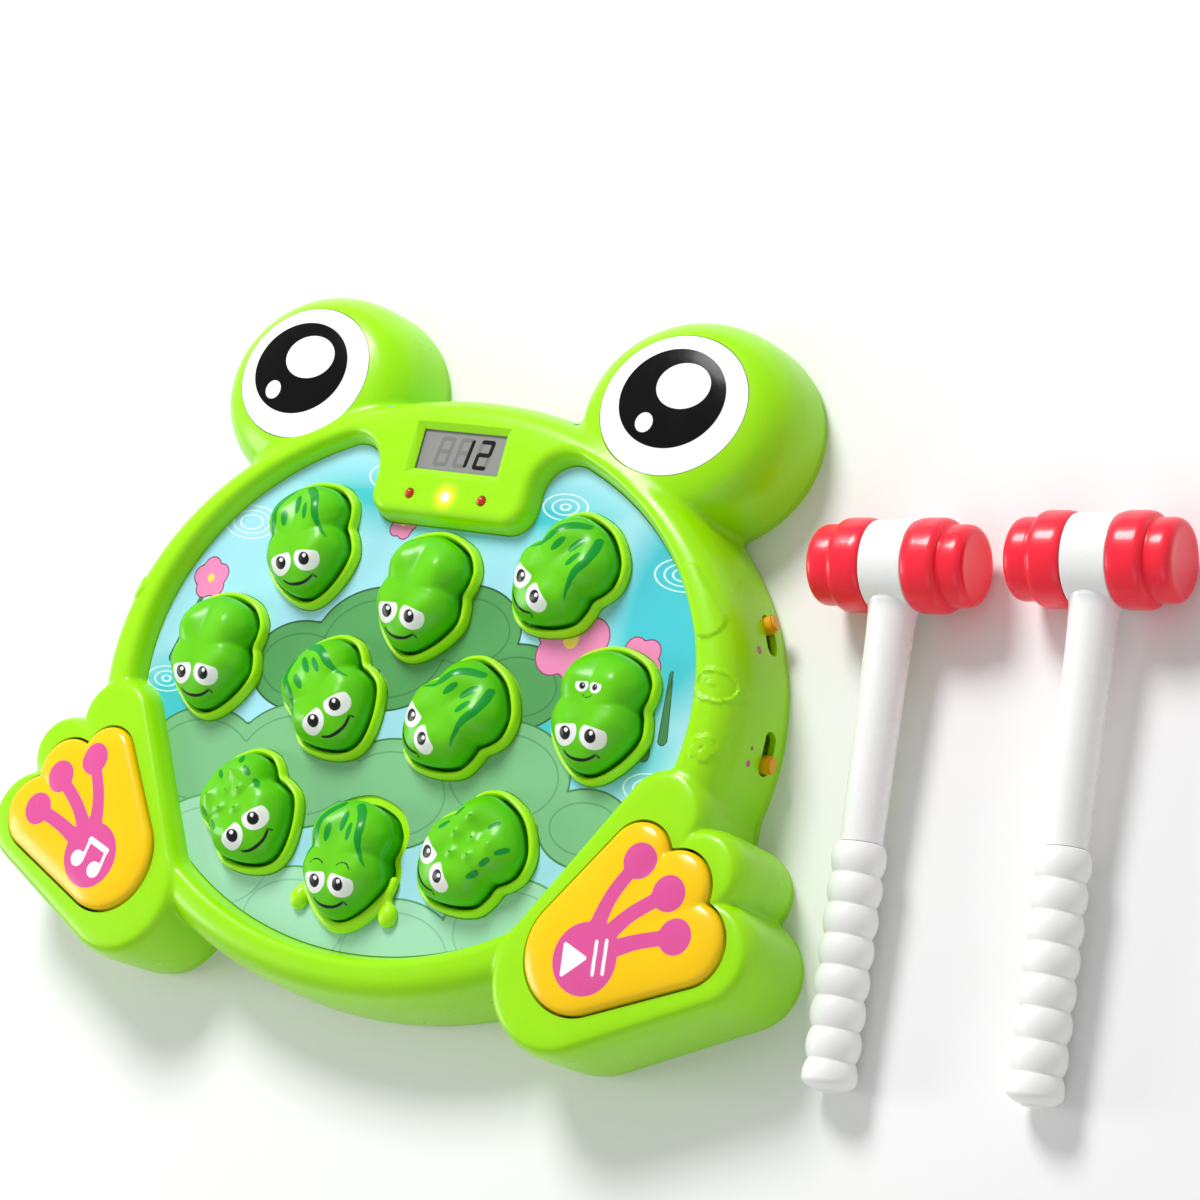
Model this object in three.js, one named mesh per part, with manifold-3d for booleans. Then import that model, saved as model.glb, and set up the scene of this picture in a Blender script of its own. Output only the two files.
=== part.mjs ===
// Frog pounding game: a frog-shaped console that lies on its back, with ten sprung frog heads
// in a printed pond, a score display, two paw buttons, two slide switches and two toy hammers.
// Millimetres. +Z is up out of the play face, +Y points to the eyes, the player sits at -Y.
// The origin is the centre of the round body's underside, on the surface that it rests on.

import * as THREE from 'three';
import { mergeVertices } from 'three/addons/utils/BufferGeometryUtils.js';
import Module from 'manifold-3d';

const wasm = await Module();
wasm.setup();

// Body
const base_radius = 132.5;          // half width of the round body at its bottom edge
const crest_inset = 15.5;           // the rim's highest line lies this far inside the bottom edge
const body_ratio = 0.801;           // front-to-back size over width, for all body ellipses
const rim_height = 35.2;            // top of the rim over the table
const wall = 2.2;                   // moulded wall thickness
const seat = 0.3;                   // gap between seated pieces
const cut_over = 4;                 // how far a cutting shape runs past a face
const weld = 0.0001;                // distance under which two points are one
const crest_radius = base_radius - crest_inset;

// A circle of the plan view from shares of the body's half width
function planCircle([x_share, y_share, r_share]) {
  return { x: x_share * base_radius, y: y_share * base_radius, r: r_share * base_radius };
}

// Back cover
const cover_plate = 2.4;
const cover_inset = 0.7;            // the cover's edge stands back from the casing's edge
const cover_chamfer = 0.8;
const rib_length = 14;               // locating ribs that stand inside the casing's wall
const rib_plate = 1.6;
const rib_height = 3.6;
const rib_slack = 0.5;
const seam_height = cover_plate + seat;

// Opening over the pond
const opening_shift = 2.2;          // the opening sits this far towards the eyes
const opening_draft = 1.5;          // the opening narrows this much down to the deck
const ridge_round = 2;              // fillet along the ridge
const opening_radius = crest_radius - ridge_round;
const display_half_width = 32.5;    // score block that hangs into the opening
const block_reach = 34.815;         // the block runs this far in from the opening's far edge
const display_bottom = opening_radius * body_ratio + opening_shift - block_reach;
const block_corner = 8;
const lobe_round = 13;

// Play deck
const pond_depth = 8.2;             // from the rim's top down to the deck
const deck_top = rim_height - pond_depth;
const deck_plate = 2.2;
const deck_tuck = 6;                // the deck's edge runs this far under the rim
const deck_radius = opening_radius + deck_tuck;
const sheet_plate = 0.5;
const deck_bottom = deck_top - deck_plate;
const wall_foot = deck_top + seat;  // lower end of the opening's inner wall

// Eye pods
const pod_place_share = [0.584906, 0.784906, 0];
const { x: pod_x, y: pod_y } = planCircle(pod_place_share);
const pod_half_width = 42;
const pod_half_depth = 37.5;
const pod_drop = 0.7;               // the pods end this far under the rim's top
const pod_height = rim_height - pod_drop;
const eye_shift = 3;                // the eyes sit this far back on their pods
const eye_out = 0.5;
const eye_margin = 14;              // from a pod's side to the side of its eye
const eye_depth_margin = 12.8;
const eye_x = pod_x + eye_out;
const eye_y = pod_y + eye_shift;
const eye_half_width = pod_half_width - eye_margin;
const eye_half_depth = pod_half_depth - eye_depth_margin;
const eye_plate = 1.2;

// Feet and paw buttons, right side; the left side mirrors them
const foot_rise = 1.3;              // the feet stand this far over the rim
const foot_height = rim_height + foot_rise;
const foot_round = 13;              // how far the foot's rounded edge runs in
const heel = planCircle([0.6981, -0.6189, 0.19245]);
const toe_shares = [[0.8679, -0.2, 0.12075], [1.0113, -0.3132, 0.10943], [1.06415, -0.4981, 0.13585]];
const toes = toe_shares.map(planCircle);
const paw_heel = planCircle([0.75094, -0.55472, 0.14717]);
const paw_toe_shares = [[0.84528, -0.30566, 0.08302], [0.96604, -0.36226, 0.09057], [1.02642, -0.48302, 0.10189]];
const paw_toes = paw_toe_shares.map(planCircle);
const paw_rise = 4.5;               // how far a paw stands out of its foot
const paw_crown = 3;                // height of the paw's crowned top
const paw_height = foot_height + paw_rise;
const paw_edge_height = paw_height - paw_crown;
const paw_round = 8;
const paw_gap = 0.8;
const paw_flange = 1.8;
const paw_flange_room = 12.5;        // the flange stops this far inside the foot's outline
const paw_flange_plate = 1.5;
const paw_travel = 2.5;
const paw_stem = 3.6;
const { x: paw_stem_x, y: paw_stem_y } = planCircle([0.883, -0.45283, 0]);
const paw_board_size = 22;
const paw_board_height = 14;
const paw_post_inset = 3.5;

// Frog heads
const head_half_length = 19.5;
const head_half_width = 15.5;
const head_edge_rise = 3.5;         // where the dome starts over the deck
const head_edge_height = deck_top + head_edge_rise;
const head_height = 11.5;           // dome height
const brow_height = 1.6;
const head_gap = 1;
const head_flange = 2;
const head_flange_plate = 1.5;
const head_travel = 5;
const stem_radius = 3;
const lip_width = 2.6;
const lip_height = 4.5;
const palm = { x: 18.7, y: -14.9, width: 3.4, depth: 4.4, height: 3.2 };
const thumb = { x: 17.2, y: -9.6, width: 1.7, depth: 3, height: 2 };
const frog_shares = [               // places over the opening's half width; the ninth has arms, no collar
  { x: -0.46783, y: 0.39913, turn: -74 },
  { x: 0, y: 0.2887, turn: -95 },
  { x: 0.46783, y: 0.39913, turn: -130 },
  { x: -0.7087, y: 0.02348, turn: -86 },
  { x: -0.2287, y: -0.05478, turn: -46 },
  { x: 0.2287, y: -0.05478, turn: -137 },
  { x: 0.7087, y: 0.02348, turn: -89 },
  { x: -0.4087, y: -0.4287, turn: -43 },
  { x: 0, y: -0.5113, turn: -88, free: true },
  { x: 0.4087, y: -0.4287, turn: -138 },
];
const frog_places = frog_shares.map((share) => (
  { ...share, x: share.x * opening_radius, y: share.y * opening_radius }
));

// Main board, switches and springs under the heads
const board_plate = 1.6;
const board_height = 8;
const board_inset = 15;             // the board's edge stands back from the opening's
const board_radius = opening_radius - board_inset;
const switch_size = 6;
const switch_height = 3.5;
const switch_pin_radius = 1.7;
const switch_pin = 1.5;
const spring_radius = 6.2;
const spring_wire = 1.1;
const board_top = board_height + board_plate;
const board_post = 2.6;
const board_spot_shares = [[-0.54, 0.2], [0.54, 0.2], [-0.75, -0.28], [0.75, -0.28]];
const board_spots = board_spot_shares.map(([x, y]) => ({ x: x * board_radius, y: y * board_radius }));

// Score display
const lcd_width = 35;
const lcd_depth = 14.3;
const lcd_plate = 3.1;
const lcd_margin = 1.2;
const lcd_bevel = 2.6;
const lcd_bevel_share = 0.8;        // how much of the wall the bevel takes
const lcd_up = 23.9;                // from the block's near edge to the window's middle
const lcd_y = display_bottom + lcd_up;
const led_up = 7.4;
const led_y = display_bottom + led_up;
const led_spacing = 15.2;
const led_radius = 1.6;
const led_flange = 2.1;
const led_proud = 1.3;
const led_tip_share = 0.7;
const display_board_width = 56;
const display_board_depth = 28;
const display_board_up = 18.3;
const display_board_y = display_bottom + display_board_up;
const display_board_height = deck_top + 2 * seat;
const display_post = 2;
const display_post_inset = 2.6;

// Speaker, in the left pod
const speaker_radius = 20;
const speaker_height = 13;
const magnet_share = 0.55;          // the magnet's radius over the speaker's
const speaker_rim_share = 1 / 6;    // the rim's height over the speaker's
const sound_hole = 1.8;
const sound_ring = 9;
const sound_count = 6;

// Batteries
const cell_radius = 7;
const cell_length = 50;
const nub_radius = 2.75;
const nub_length = 1.4;
const cell_pitch = 15;
const cell_count = 3;
const battery_inset = 32.13;        // from the body's rear edge to the middle of the cells
const battery_y = base_radius * body_ratio - battery_inset;
const battery_wall = 1.6;
const battery_ceiling = 1.3;
const contact_room = 3.6;
const contact_plate = 0.5;
const contact_size = 10;
const contact_coil = 4.5;
const contact_tip = 2.6;
const contact_taper_share = 0.6;
const door_plate = 1.6;
const door_ledge = 1.3;
const door_ear = 4.4;
const door_tab = 9;
const door_tab_reach = 2.4;

// Fasteners
const screw_radius = 1.3;
const screw_head_radius = 2.8;
const screw_slack = 0.25;
const boss_radius = 3.4;
const well_radius = 4.8;
const well_height = 9;
const well_floor = 2;
const case_screw_length = 11;
const deck_screw_length = 6;
const board_screw_length = 5;
const case_boss_inset = 11;
const case_boss_radius = base_radius - case_boss_inset;
const deck_boss_inset = 2.5;
const deck_boss_radius = deck_radius - deck_boss_inset;
const deck_boss = 2.6;
const pod_boss_share = 0.7333;      // how far back on its pod a case screw sits
const toe_boss_share = 0.1875;
const heel_boss_shares = [-0.2157, -0.5882];
const roof = rim_height - wall;

// Slide switches in the right wall
const slot_length = 14.6;
const slot_height = 6;
const slot_z = 10;
const slot_angles = { power_switch: 22.4, volume_switch: 1.2 };
const knob_length = 6;
const knob_gap = 0.4;
const knob_proud = 3;
const knob_travel = 7;
const slider_gap = 1.2;
const slider_plate = 1.2;
const slider_over = 2;
const can_length = 19;
const can_height = 9;
const can_depth = 5;
const slot_wall_share = 0.035;

// Hammers
const hammer_clear = 31.8;          // from the console's wall to the first hammer's axis
const hammer_apart = 66.7;
const hammer_back = 9;              // the second hammer lies this far behind the first
const hammer_y = 66.7;
const hammer_places = [
  { x: base_radius + hammer_clear, y: hammer_y },
  { x: base_radius + hammer_clear + hammer_apart, y: hammer_y + hammer_back },
];
const hammer_turn = 5.6;
const hammer_length = 164;          // from the head's axis to the grip's end
const head_radius = 15;
const head_length = 54;
const band_width = 14.6;
const band_radius = 14.3;
const spigot_radius = 9;
const striker_wall = 2.4;
const step_radius = 12.9;
const step_length = 8.4;
const groove_depth = 1;
const shaft_radius = 6.7;
const core_radius = 5.2;
const neck_radius = 7;
const neck_flare = 0.7;
const neck_length = 14;
const grip_length = 76;
const grip_radius = 8.5;
const grip_waist = 7.2;
const grip_ribs = 8;

// Colours
const lime = 0x8fe000;
const lime_light = 0xb4f01e;
const frog_green = 0x45c400;
const pond_blue = 0x8fdcec;
const paw_yellow = 0xffc800;
const hammer_red = 0xf5183a;
const hammer_white = 0xf4f4f2;
const eye_white = 0xfafafa;
const display_grey = 0x8e8e8c;
const knob_ochre = 0xe0a800;
const led_red = 0xdd1010;
const led_warm = 0xfff0c0;
const board_green = 0x1c6b3a;
const steel = 0xb8bcc0;
const dark = 0x2a2a2a;
const cell_skin = 0x3a5a8c;

const group = new THREE.Group();

// Meshes and solids

function node(name, shape, colour, roughness = 0.35, metalness = 0) {
  const geometry = shape.isBufferGeometry ? shape : surface(shape);
  const mesh = new THREE.Mesh(geometry, new THREE.MeshStandardMaterial({ color: colour, roughness, metalness }));
  mesh.name = name;
  group.add(mesh);
  return mesh;
}

function solid(geometry) {
  const plain = geometry.clone();
  plain.deleteAttribute('normal');
  plain.deleteAttribute('uv');
  const merged = mergeVertices(plain, weld);
  const index = merged.index.array;
  const triangles = [];
  for (let i = 0; i < index.length; i += 3) {
    const [a, b, c] = index.slice(i, i + 3);
    if (a !== b && b !== c && c !== a) {
      triangles.push(a, b, c);
    }
  }
  return new wasm.Manifold(new wasm.Mesh({
    numProp: 3,
    vertProperties: merged.attributes.position.array,
    triVerts: new Uint32Array(triangles),
  }));
}

// A turned piece along +Z from pairs of radius and height; the profile closes on itself
function revolve(profile, sides) {
  const points = [...profile, profile[0]].map(([radius, height]) => new THREE.Vector2(radius, height));
  const geometry = new THREE.LatheGeometry(points, sides);
  geometry.rotateX(Math.PI / 2);
  return geometry;
}

function surface(manifold) {
  const mesh = manifold.getMesh();
  const geometry = new THREE.BufferGeometry();
  geometry.setAttribute('position', new THREE.BufferAttribute(mesh.vertProperties, mesh.numProp));
  geometry.setIndex(new THREE.BufferAttribute(mesh.triVerts, 1));
  return geometry;
}

function joined(parts) {
  return parts.reduce((sum, part) => sum.add(part));
}

// A closed skin over a stack of rings that all run anticlockwise with the same point count
function loft(rings, apex = 0) {
  const count = rings[0].length;
  const points = rings.flat();
  const last = (rings.length - 1) * count;
  const faces = [];
  for (let ring = 0; ring < last; ring += count) {
    for (let i = 0; i < count; i += 1) {
      const next = (i + 1) % count;
      faces.push(ring + i, ring + next, ring + count + next);
      faces.push(ring + i, ring + count + next, ring + count + i);
    }
  }
  const low = points.length;
  points.push(middle(rings[0]), middle(rings[rings.length - 1]));
  points[low + 1].z += apex;
  for (let i = 0; i < count; i += 1) {
    const next = (i + 1) % count;
    faces.push(low, next, i);
    faces.push(low + 1, last + i, last + next);
  }
  const geometry = new THREE.BufferGeometry().setFromPoints(points);
  geometry.setIndex(faces);
  return geometry;
}

function middle(ring) {
  const sum = ring.reduce((total, point) => total.add(point), new THREE.Vector3());
  return sum.divideScalar(ring.length);
}

function ring(outline, z) {
  return outline.map((point) => new THREE.Vector3(point.x, point.y, z));
}

// outlineAt(d) gives an outline grown by d; levels are pairs of growth and height
function stack(outlineAt, levels, apex = 0) {
  return solid(loft(levels.map(([grow, z]) => ring(outlineAt(grow), z)), apex));
}

function prism(outlineAt, grow, low, high) {
  return stack(outlineAt, [[grow, low], [grow, high]]);
}

function ellipse(x, y, half_width, half_depth, count) {
  return (grow) => {
    const points = [];
    for (let i = 0; i < count; i += 1) {
      const angle = (2 * Math.PI * i) / count;
      points.push(new THREE.Vector2(
        x + (half_width + grow) * Math.cos(angle),
        y + (half_depth + grow) * Math.sin(angle),
      ));
    }
    return points;
  };
}

function arc(points, x, y, radius, from, to, steps) {
  for (let i = 0; i <= steps; i += 1) {
    const angle = from + ((to - from) * i) / steps;
    points.push(new THREE.Vector2(x + radius * Math.cos(angle), y + radius * Math.sin(angle)));
  }
}

// A tapered capsule round two circles
function capsule(back, front, steps, side = 1) {
  return (grow) => {
    const gap = Math.hypot(front.x - back.x, front.y - back.y);
    const along = Math.atan2(front.y - back.y, front.x - back.x);
    const spread = Math.acos((back.r - front.r) / gap);
    const points = [];
    arc(points, front.x, front.y, front.r + grow, along - spread, along + spread, steps);
    arc(points, back.x, back.y, back.r + grow, along + spread, along + 2 * Math.PI - spread, steps);
    if (side > 0) {
      return points;
    }
    return points.map((point) => new THREE.Vector2(-point.x, point.y)).reverse();
  };
}

function box(width, depth, height, x, y, z) {
  const geometry = new THREE.BoxGeometry(width, depth, height);
  geometry.translate(x, y, z + height / 2);
  return solid(geometry);
}

function rod(radius, low, high, x, y, sides = 10) {
  return prism(ellipse(x, y, radius, radius, sides), 0, low, high);
}

// Round body

const body_sides = 48;
const body_wall_shares = [[0, 0], [0.09, 0.56], [0.19, 0.78], [0.335, 0.905], [0.58, 0.98], [1, 1]];
const body_inner_shares = [[0, 0], [0.09, 0.56], [0.335, 0.905], [1, 1]];

function bodyOutline(grow) {
  return ellipse(0, 0, base_radius + grow, (base_radius + grow) * body_ratio, body_sides)(0);
}

function bodyStack(shares, inset, low) {
  const fall = base_radius - crest_radius;
  const rise = rim_height - seam_height;
  const levels = shares.map(([inward, upward]) => [-inset - inward * fall, seam_height - inset + upward * rise]);
  return stack(bodyOutline, [[-inset, low], ...levels]);
}

// Opening with the score block hanging into it

function openingOutline(grow) {
  const across = opening_radius + grow;
  const deep = opening_radius * body_ratio + grow;
  const block_x = display_half_width - grow;
  const block_y = display_bottom + grow;
  const lobe = lobe_round + grow;
  const corner = block_corner - grow;
  const lobe_x = block_x + lobe;
  const lobe_y = opening_shift + (deep - lobe) * Math.sqrt(1 - (lobe_x / (across - lobe)) ** 2);
  const start = Math.acos(lobe_x / (across - lobe));
  const half = [];
  const around = 18;
  for (let i = 0; i <= around; i += 1) {
    const angle = -Math.PI / 2 + ((start + Math.PI / 2) * i) / around;
    half.push(new THREE.Vector2(across * Math.cos(angle), opening_shift + deep * Math.sin(angle)));
  }
  const touch = half[half.length - 1];
  const lobe_from = Math.atan2(touch.y - lobe_y, touch.x - lobe_x);
  const lobe_part = [];
  arc(lobe_part, lobe_x, lobe_y, lobe, lobe_from, Math.PI, 3);
  half.push(...lobe_part.slice(1));
  arc(half, block_x - corner, block_y + corner, corner, 0, -Math.PI / 2, 2);
  const other = half.slice(1).map((point) => new THREE.Vector2(-point.x, point.y)).reverse();
  return [...half, ...other];
}

function openingCut(grow) {
  const high = rim_height + cut_over;
  return stack(openingOutline, [
    [grow - opening_draft, wall_foot - cut_over],
    [grow - opening_draft, wall_foot],
    [grow, rim_height - ridge_round],
    [grow + ridge_round / 2, rim_height - ridge_round / 4],
    [grow + ridge_round, rim_height],
    [grow + ridge_round, high],
  ]);
}

// Eye pods

const pod_sides = 24;
const pod_shares = [[1, 0], [0.98, 0.42], [0.91, 0.68], [0.76, 0.87], [0.48, 0.97]];
const pod_inner_shares = [[1, 0], [0.94, 0.55], [0.7, 0.86]];

function podOutline(side, grow) {
  return ellipse(side * pod_x, pod_y, pod_half_width + grow, pod_half_depth + grow, pod_sides)(0);
}

function podStack(side, shares, inset, low, lift = 0) {
  const rise = pod_height - seam_height;
  const rings = shares.map(([outward, upward]) => {
    const outline = ellipse(
      side * pod_x,
      pod_y,
      (pod_half_width - inset) * outward,
      (pod_half_depth - inset) * outward,
      pod_sides,
    )(0);
    return ring(outline, seam_height - inset + lift + upward * rise);
  });
  const [last_out, last_up] = shares[shares.length - 1];
  const apex = (1 - last_up) * rise * (last_out > 0 ? 1 : 0);
  return solid(loft([ring(podOutline(side, -inset), low), ...rings], apex));
}

// Feet

const foot_steps = 5;
const foot_inner_steps = 4;
const paw_steps = 5;
const foot_shares = [[0, 0.58], [0.12, 0.8], [0.4, 0.94], [1, 1]];
const foot_inner_shares = [[0, 0.55], [0.11, 0.84], [0.33, 0.95], [0.87, 1]];

function footStack(side, shares, inset, low, steps) {
  const rise = foot_height - seam_height;
  const levels = shares.map(([inward, upward]) => [-inset - inward * foot_round, seam_height - inset + upward * rise]);
  return joined(toes.map((toe) => stack(capsule(heel, toe, steps, side), [[-inset, low], ...levels])));
}

function footPrism(side, grow, low, high) {
  return joined(toes.map((toe) => prism(capsule(heel, toe, foot_steps, side), grow, low, high)));
}

function pawStack(side, levels) {
  return joined(paw_toes.map((toe) => stack(capsule(paw_heel, toe, paw_steps, side), levels)));
}

// Frog head outline, with the face along +X before it is turned

const head_points = 14;
const head_shares = [
  [1, 0], [0.9, 0.36], [0.62, 0.74], [0.3, 0.98], [0.02, 0.94], [-0.14, 0.86],
  [-0.32, 0.93], [-0.55, 0.94], [-0.8, 0.74], [-0.94, 0.4],
];

const head_unit = (() => {
  const left = head_shares.map(([u, v]) => new THREE.Vector3(u, v, 0));
  const right = head_shares.slice(1).map(([u, v]) => new THREE.Vector3(u, -v, 0)).reverse();
  const curve = new THREE.CatmullRomCurve3([...left, new THREE.Vector3(-1, 0, 0), ...right], true);
  return curve.getSpacedPoints(head_points).slice(0, head_points);
})();

function headLocal(grow, share = 1) {
  return head_unit.map((point) => {
    const u = point.x * head_half_length;
    const v = point.y * head_half_width;
    const stretch = share * (1 + grow / Math.hypot(u, v));
    return new THREE.Vector2(u * stretch, v * stretch);
  });
}

function placed(outline, place) {
  const turn = THREE.MathUtils.degToRad(place.turn);
  const centre = new THREE.Vector2(place.x, place.y);
  return outline.map((point) => point.clone().rotateAround(new THREE.Vector2(), turn).add(centre));
}

function headOutline(place) {
  return (grow) => placed(headLocal(grow), place);
}

// Places of the fasteners

const side_screw_spots = [
  { x: eye_x, y: pod_y + pod_boss_share * pod_half_depth },
  { x: toes[0].x + toe_boss_share * toes[0].r, y: toes[0].y + toe_boss_share * toes[0].r },
  { x: heel.x + heel_boss_shares[0] * heel.r, y: heel.y + heel_boss_shares[1] * heel.r },
];
const screw_spots = [
  ...side_screw_spots,
  ...side_screw_spots.map(({ x, y }) => ({ x: -x, y })),
  { x: 0, y: -case_boss_radius * body_ratio },
];
const rib_angles = [-30, 45, 90, 135, 178, 210, 285];
const deck_screw_angles = [25, 155, 183, 250, 290, 357];
const deck_spots = deck_screw_angles.map((degrees) => {
  const angle = THREE.MathUtils.degToRad(degrees);
  return { x: deck_boss_radius * Math.cos(angle), y: deck_boss_radius * body_ratio * Math.sin(angle) };
});

function rods(spots, radius, low, high, sides = 8) {
  return joined(spots.map((spot) => rod(radius, low, high, spot.x, spot.y, sides)));
}

function rectangle(x, y, width, depth) {
  return (grow) => {
    const half_x = width / 2 + grow;
    const half_y = depth / 2 + grow;
    return [
      new THREE.Vector2(x - half_x, y - half_y),
      new THREE.Vector2(x + half_x, y - half_y),
      new THREE.Vector2(x + half_x, y + half_y),
      new THREE.Vector2(x - half_x, y + half_y),
    ];
  };
}

// Eye inserts and their pockets in the pods

function eyeColumn(side, grow) {
  const outline = ellipse(side * eye_x, eye_y, eye_half_width, eye_half_depth, pod_sides);
  return prism(outline, grow, seam_height, pod_height + cut_over);
}

function eyePocket(side) {
  const under = podStack(side, pod_shares, 0, -cut_over, -eye_plate - seat);
  return eyeColumn(side, 0).subtract(under);
}

function eyeInsert(side) {
  const dome = podStack(side, pod_shares, 0, -cut_over);
  const under = podStack(side, pod_shares, 0, -cut_over, -eye_plate);
  const body = bodyStack(body_wall_shares, -seat, -cut_over);
  return eyeColumn(side, -seat).intersect(dome).subtract(under).subtract(body);
}

// Slide switches: each lies in a frame on the wall, with X out of the wall and Y along it

function slotFrame(angle_deg, along) {
  const angle = THREE.MathUtils.degToRad(angle_deg);
  const reach = base_radius - (base_radius - crest_radius) * slot_wall_share;
  const place = new THREE.Vector3(reach * Math.cos(angle), reach * body_ratio * Math.sin(angle), slot_z);
  const turn = Math.atan2(Math.sin(angle), body_ratio * Math.cos(angle));
  const frame = new THREE.Matrix4().makeRotationZ(turn).setPosition(place);
  return frame.multiply(new THREE.Matrix4().makeTranslation(0, along, 0));
}

function slotShape(angle_deg, along, length, height, from, to) {
  const half = (length - height) / 2;
  const shape = new THREE.Shape();
  shape.absarc(half, 0, height / 2, -Math.PI / 2, Math.PI / 2, false);
  shape.absarc(-half, 0, height / 2, Math.PI / 2, (3 * Math.PI) / 2, false);
  const geometry = new THREE.ExtrudeGeometry(shape, { depth: to - from, bevelEnabled: false, curveSegments: 4 });
  geometry.rotateX(Math.PI / 2);
  geometry.rotateZ(Math.PI / 2);
  geometry.translate(from, 0, 0);
  geometry.applyMatrix4(slotFrame(angle_deg, along));
  return solid(geometry);
}

const slider_face = -wall - slider_gap;
const knob_height = slot_height - 2 * knob_gap;
const knob_rest = { power_switch: knob_travel / 2, volume_switch: -knob_travel / 2 };

function slideKnob(name) {
  const angle = slot_angles[name];
  const along = knob_rest[name];
  const back = slider_face - slider_plate;
  const finger = slotShape(angle, along, knob_length, knob_height, back, knob_proud);
  const plate = slotShape(angle, along, knob_length + 2 * slider_over, knob_height + slider_over, back, slider_face);
  return finger.add(plate);
}

function slideCan(name) {
  const geometry = new THREE.BoxGeometry(can_depth, can_length, can_height);
  geometry.translate(slider_face - slider_plate - seat - can_depth / 2, 0, 0);
  geometry.applyMatrix4(slotFrame(slot_angles[name], 0));
  return solid(geometry);
}

function slideShelf(name) {
  const low = cover_plate / 2;
  const high = slot_z - can_height / 2 - seat;
  const geometry = new THREE.BoxGeometry(can_depth, can_length, high - low);
  geometry.translate(slider_face - slider_plate - seat - can_depth / 2, 0, (high + low) / 2 - slot_z);
  geometry.applyMatrix4(slotFrame(slot_angles[name], 0));
  return solid(geometry);
}

// Front casing: rim, score block, eye pods and feet in one moulding

function scoreWindow() {
  const bevel_low = rim_height - lcd_bevel_share * wall;
  return stack(rectangle(0, lcd_y, lcd_width, lcd_depth), [
    [0, roof - cut_over],
    [0, bevel_low],
    [lcd_bevel, rim_height],
    [lcd_bevel, rim_height + cut_over],
  ]);
}

const led_spots = [-1, 0, 1].map((step) => ({ x: step * led_spacing, y: led_y }));
const display_post_spots = [-1, 1].flatMap((side) => [-1, 1].map((end) => ({
  x: side * (display_board_width / 2 - display_post_inset),
  y: display_board_y + end * (display_board_depth / 2 - display_post_inset),
})));

function frontShell() {
  const feet = [-1, 1].map((side) => footStack(side, foot_shares, 0, seam_height, foot_steps));
  const pods = [-1, 1].map((side) => podStack(side, pod_shares, 0, seam_height).subtract(eyePocket(side)));
  const rim = joined([bodyStack(body_wall_shares, 0, seam_height), ...pods]).subtract(openingCut(0));
  const outer = joined([rim, ...feet]);
  const hollow = bodyStack(body_inner_shares, wall, -cut_over)
    .subtract(prism(openingOutline, wall, wall_foot, rim_height + cut_over));
  const pod_hollows = [-1, 1].map((side) => podStack(side, pod_inner_shares, wall + eye_plate / 2, -cut_over));
  const foot_hollows = [-1, 1].map((side) => footStack(side, foot_inner_shares, wall, -cut_over, foot_inner_steps));
  const posts = joined([
    rods(screw_spots, boss_radius, well_height + seat, foot_height),
    rods(deck_spots, deck_boss, wall_foot, roof),
    rods(display_post_spots, display_post, display_board_height + board_plate + seat, roof + wall / 2, 6),
  ]);
  const pilot = screw_radius + screw_slack;
  const cuts = joined([
    rods(screw_spots, pilot, -cut_over, well_height + case_screw_length, 5),
    rods(deck_spots, pilot, -cut_over, deck_top + deck_screw_length, 5),
    rods(led_spots, led_radius + seat, roof - cut_over, rim_height + cut_over, 8),
    scoreWindow(),
    ...[-1, 1].map((side) => pawStack(side, [[paw_gap, wall_foot], [paw_gap, foot_height + cut_over]])),
    ...Object.values(slot_angles).map((angle) => (
      slotShape(angle, 0, slot_length, slot_height, slider_face, knob_proud)
    )),
  ]);
  return outer.subtract(joined([hollow, ...pod_hollows, ...foot_hollows])).add(posts.intersect(outer)).subtract(cuts);
}

// Back cover with locating ribs, battery box, screw wells, board posts and sound holes

const cell_z = door_plate + 2 * seat + cell_radius;
const pocket_width = cell_length + 2 * contact_room;
const pocket_depth = cell_count * cell_pitch;
const pocket_top = cell_z + cell_radius + seat;
const ear_y = battery_y - pocket_depth / 2 - door_ledge - door_ear / 2;
const ear_well = door_ear + battery_wall;

function coverPlate() {
  return joined([
    prism(bodyOutline, -cover_inset, 0, cover_plate),
    ...[-1, 1].map((side) => prism((extra) => podOutline(side, extra), -cover_inset, 0, cover_plate)),
    ...[-1, 1].map((side) => footPrism(side, -cover_inset, 0, cover_plate)),
  ]);
}

function locatingRib(angle_deg) {
  const reach = wall + rib_slack + rib_plate / 2;
  const low = cover_plate / 2;
  const high = cover_plate + rib_height;
  const geometry = new THREE.BoxGeometry(rib_plate, rib_length, high - low);
  geometry.translate(-reach, 0, (high + low) / 2 - slot_z);
  geometry.applyMatrix4(slotFrame(angle_deg, 0));
  return solid(geometry);
}

function doorShape(grow, low, high) {
  const plate = prism(rectangle(0, battery_y, pocket_width, pocket_depth), door_ledge + grow, low, high);
  const ear = rod(door_ear + grow, low, high, 0, ear_y, 12);
  const edge = battery_y + pocket_depth / 2 + door_ledge;
  const tabs = [-1, 1].map((side) => (
    prism(rectangle(side * pocket_width / 4, edge, door_tab, 2 * door_tab_reach), grow, low, high)
  ));
  return joined([plate, ear, ...tabs]);
}

function soundHoles() {
  const spots = [{ x: -pod_x, y: pod_y }];
  for (let i = 0; i < sound_count; i += 1) {
    const angle = (2 * i * Math.PI) / sound_count;
    spots.push({ x: -pod_x + sound_ring * Math.cos(angle), y: pod_y + sound_ring * Math.sin(angle) });
  }
  return rods(spots, sound_hole, -cut_over, cover_plate + cut_over, 6);
}

function pawPostSpots(side) {
  const reach = paw_board_size / 2 - paw_post_inset;
  return [-1, 1].map((end) => ({ x: side * paw_stem_x + end * reach, y: paw_stem_y - end * reach }));
}

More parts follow.
